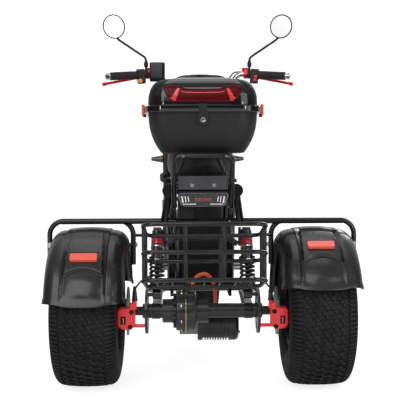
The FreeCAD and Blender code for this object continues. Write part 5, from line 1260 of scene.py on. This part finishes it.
def collars(side):
    """Two solid collars on a shock and two rings on its tank."""
    shapes = [turned([(start, 0), (start, 20.4), (start + 5, 20.4), (start + 5, 0)], *shock_axis(side))
              for start in (146, 180)]
    for start in (-24, 20):
        ring = [(start, 12), (start, 13.4), (start + 4, 13.4), (start + 4, 12), (start, 12)]
        shapes.append(turned(ring, *tank_axis(side), 32))
    return joined(shapes)


def caliper(side):
    """A caliper's body: a flat plate with a bevel, two rounded halves behind it, a slide pin and a hose post."""
    outline = (CALIPER - (226, AXLE_HEIGHT)) * (side, 1)
    plate = prism((outline[::-1] if side > 0 else outline) * MM, 0.017, 0.0022)
    halves = [rounded_block((0.0095, 0.0165, 0.030), spot(side * x, -63, 220)) for x in (214, 244)]
    return joined([set_down(plate, spot(side * 226, -78, AXLE_HEIGHT), REARWARD), *halves,
                   rod(33, 5.6, spot(side * 176.4, -58, 193), (side, 0, 0)),
                   rod(26, 7.6, spot(side * 207, -64, 245), UP)])


def caliper_bolts(side):
    """The caliper's upper slide pin and two bolts on its plate."""
    return joined([rod(33, 5.6, spot(side * 176.4, -58, 244), (side, 0, 0)),
                   *(bolt(spot(side * x, -95, z), REARWARD, 0.0056) for x, z in ((214, 241), (218, 196)))])


def bolt_circle(count, radius, centre, axis, size):
    """Bolts at even angles on a circle round a centre, in the plane of the wheels."""
    turns = TURN * (np.arange(count) + 0.5) / count
    return [bolt(centre + np.array([0, math.cos(turn), math.sin(turn)]) * radius, axis, size) for turn in turns]


class TRIKE_OT_running_gear(bpy.types.Operator):
    """Springs, sleeves, tanks and collars of the shocks, calipers, hose boots, bolts of the drive and hub caps"""

    bl_idname = "trike.running_gear"
    bl_label = "Running gear"

    def execute(self, context):
        piece("coil_springs", both(spring), "frame", "spring_black", 60, ("springs",))
        sleeves = both(lambda side: turned(SLEEVE, *shock_axis(side)))
        piece("shock_bodies", sleeves, "frame", "shock_metal", 36, finish="reservoir_red")
        piece("shock_collars", both(collars), "frame", "shock_metal", 36, finish="bolt_steel")
        piece("caliper_bodies", both(caliper), "frame", "caliper_red", 36, ("rear_calipers",))
        windows = both(lambda side: rounded_block((0.0075, 0.0012, 0.0120), spot(side * 239, -95.2, 216)))
        piece("caliper_windows", windows, "frame", "caliper_red", 36, finish="plastic_black")
        pins = both(lambda side: rod(17, 2.4, spot(side * 239, -96.4, 207.5), UP, 16))
        piece("caliper_pins", pins, "frame", "caliper_red", 36, finish="bolt_brass")
        piece("caliper_bolts", both(caliper_bolts), "frame", "caliper_red", 30, finish="plastic_black")
        boots = both(lambda side: turned(HOSE_BOOT, spot(side * 206, -64, 270.2), UP, 28))
        piece("hose_boots", boots, "frame", "hose_rubber", 30)

        gasket = turned(GASKET, spot(-51, 0, AXLE_HEIGHT), RIGHT, 72)
        piece("drive_gasket", gasket, "frame", "axle_grey", 36, finish="bolt_brass")
        heads = bolt_circle(8, 0.061, spot(-63, 0, AXLE_HEIGHT), (-1, 0, 0), 0.0052)
        heads += bolt_circle(4, 0.040, spot(118, 122, 170), RIGHT, 0.0056)
        piece("drive_bolts", joined(heads), "frame", "axle_grey", 30, finish="bolt_steel")
        for side, wheel in ((-1, "rear_left"), (1, "rear_right")):
            cap = turned(HUB_CAP, spot(side * 404, 0, AXLE_HEIGHT), (side, 0, 0))
            piece(wheel + "_hub_cap", cap, wheel + "_wheel", "rim_black", 30, finish="bolt_steel")
        return {"FINISHED"}


# Camera, lights and stage

PHOTO_SIDE, FOCAL, SENSOR = 400, 836.5, 36  # pixels, pixels and millimetres
CAMERA_ANGLES = (-0.91, 2.48, -0.2)  # yaw, pitch and roll, degrees
CAMERA_PLACE = (-0.0474, AXLE_Y - 2.5804, 0.6834)
FLOOR_SHOWN, FLOOR_MIRRORED = 0.80, 0.22
WORLD_LIGHT, ROOM_LOW, ROOM_HIGH, ROOM_END = 0.52, 0.05, 0.34, 0.85
AREA_LAMPS = (
    ("key_lamp", (-1.4, -3.9, 3.0), (0, -0.3, 0.5), 3.3, 3.3, 76.0),
    ("fill_lamp", (2.7, -3.5, 1.9), (0, -0.3, 0.5), 2.8, 2.8, 38.0),
    ("top_lamp", (0.0, 0.4, 4.2), (0, 0, 0), 3.0, 3.0, 24.0),
    ("rim_lamp", (1.8, 3.2, 2.6), (0, 0, 0.6), 1.6, 1.6, 30.0),
    ("strip_left", (-2.3, -4.2, 0.75), (0, -0.3, 0.5), 0.34, 1.4, 14.0),
    ("strip_right", (2.3, -4.2, 0.75), (0, -0.3, 0.5), 0.34, 1.4, 14.0),
)


def photographed_view():
    """A camera behind the vehicle, turned by yaw, then pitch, then roll."""
    yaw, pitch, roll = (math.radians(angle) for angle in CAMERA_ANGLES)
    ahead = Vector((-math.sin(yaw) * math.cos(pitch), math.cos(yaw) * math.cos(pitch), -math.sin(pitch)))
    level = Vector((math.cos(yaw), math.sin(yaw), 0))
    right = level * math.cos(roll) + level.cross(ahead) * math.sin(roll)
    camera = bpy.data.objects.new("camera", bpy.data.cameras.new("camera"))
    camera.data.lens = FOCAL / PHOTO_SIDE * SENSOR
    camera.data.sensor_width = SENSOR
    camera.data.clip_end = 60
    place = Matrix((right, right.cross(ahead), -ahead)).transposed().to_4x4()
    place.translation = CAMERA_PLACE
    camera.matrix_world = place
    return camera


def studio_floor():
    """A pale sheet that runs level under the vehicle and bends up ahead of it in a quarter circle."""
    bend = np.linspace(0, math.pi / 2, 25)
    radius, back = 3.0, 4.0
    along = np.concatenate([[-10, -2], back + radius * np.sin(bend), [back + radius]])
    rise = np.concatenate([[0, 0], radius - radius * np.cos(bend), [9.0]])
    points, faces = grid(np.stack(np.broadcast_arrays(
        np.linspace(-14, 14, 15)[None, :], along[:, None], rise[:, None]), -1))
    mesh = bpy.data.meshes.new("floor")
    mesh.from_pydata(points.tolist(), [], faces[0].tolist())
    mesh.shade_smooth()
    paper = Recipe(bpy.data.materials.new("paper"))
    rays = paper.add("ShaderNodeLightPath").outputs
    shown = paper.math("MULTIPLY", rays["Is Camera Ray"], FLOOR_SHOWN)
    mesh.materials.append(paper.finished({
        "Base Color": paper.mixed(paper.noise(0.6), (0.56, 0.56, 0.56, 1.0), (0.60, 0.60, 0.60, 1.0)),
        "Roughness": 0.9, "Specular IOR Level": 0.1, "Emission Color": (1.0, 1.0, 1.0, 1.0),
        "Emission Strength": paper.math("MULTIPLY_ADD", paper.mirrored(rays), FLOOR_MIRRORED, shown)}))
    return bpy.data.objects.new("floor", mesh)


def studio_world():
    """White to the camera, even light to dull surfaces, and to mirrored rays a room brighter overhead."""
    room = Recipe(bpy.data.worlds.new("studio"), "Background")
    rays = room.add("ShaderNodeLightPath").outputs
    height = room.add("ShaderNodeSeparateXYZ", {0: room.places["Generated"]}).outputs["Z"]
    overhead = room.spread(height, ROOM_LOW, ROOM_HIGH, 0.0, ROOM_END)
    level = room.add("ShaderNodeMix", {"Factor": room.mirrored(rays), "A": WORLD_LIGHT, "B": overhead}).outputs[0]
    shown = room.add("ShaderNodeMix", {"Factor": rays["Is Camera Ray"], "A": level, "B": 1.0}).outputs[0]
    return room.finished({"Strength": shown, "Color": (1, 1, 1, 1)})


class TRIKE_OT_stage(bpy.types.Operator):
    """Camera at the photographed view, soft studio light, pale floor and backdrop"""

    bl_idname = "trike.stage"
    bl_label = "Camera and stage"

    def execute(self, context):
        scene = context.scene
        camera = photographed_view()
        scene.collection.objects.link(camera)
        scene.camera = camera
        scene.view_settings.view_transform = "Standard"
        floor = studio_floor()
        scene.collection.objects.link(floor)
        scene.world = studio_world()
        for name, place, aim, width, height, power in AREA_LAMPS:
            light = bpy.data.lights.new(name, "AREA")
            light.shape = "RECTANGLE"
            light.size, light.size_y, light.energy = width, height, power
            made = bpy.data.objects.new(name, light)
            made.location = place
            made.rotation_euler = (Vector(aim) - Vector(place)).to_track_quat("-Z", "Y").to_euler()
            scene.collection.objects.link(made)
        return {"FINISHED"}


class TRIKE_PT_panel(bpy.types.Panel):
    """The trike's sizes, colours and build steps"""

    bl_idname = "TRIKE_PT_panel"
    bl_label = "Trike"
    bl_space_type = "VIEW_3D"
    bl_region_type = "UI"
    bl_category = "Trike"

    def draw(self, context):
        for group in (context.scene.trike_sizes, context.scene.trike_colours):
            box = self.layout.box()
            for name in group.__annotations__:
                box.prop(group, name)
        for step in STEPS:
            self.layout.operator(step.bl_idname)


STEPS = (TRIKE_OT_stage, TRIKE_OT_finishes, TRIKE_OT_frame_skins, TRIKE_OT_tyres, TRIKE_OT_fenders,
         TRIKE_OT_top_case, TRIKE_OT_cushions, TRIKE_OT_controls, TRIKE_OT_tail_lamp, TRIKE_OT_running_gear)
CLASSES = (TrikeColours, TrikeSizes, *STEPS, TRIKE_PT_panel)


def register():
    """Register the classes and hang both groups of properties on the scene."""
    for made in CLASSES:
        bpy.utils.register_class(made)
    bpy.types.Scene.trike_colours = bpy.props.PointerProperty(type=TrikeColours)
    bpy.types.Scene.trike_sizes = bpy.props.PointerProperty(type=TrikeSizes)


def unregister():
    """Take back what register did."""
    del bpy.types.Scene.trike_sizes
    del bpy.types.Scene.trike_colours
    for made in reversed(CLASSES):
        bpy.utils.unregister_class(made)


def main():
    """Register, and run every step."""
    register()
    for step in STEPS:
        group, name = step.bl_idname.split(".")
        getattr(getattr(bpy.ops, group), name)()


if __name__ == "__main__":
    main()
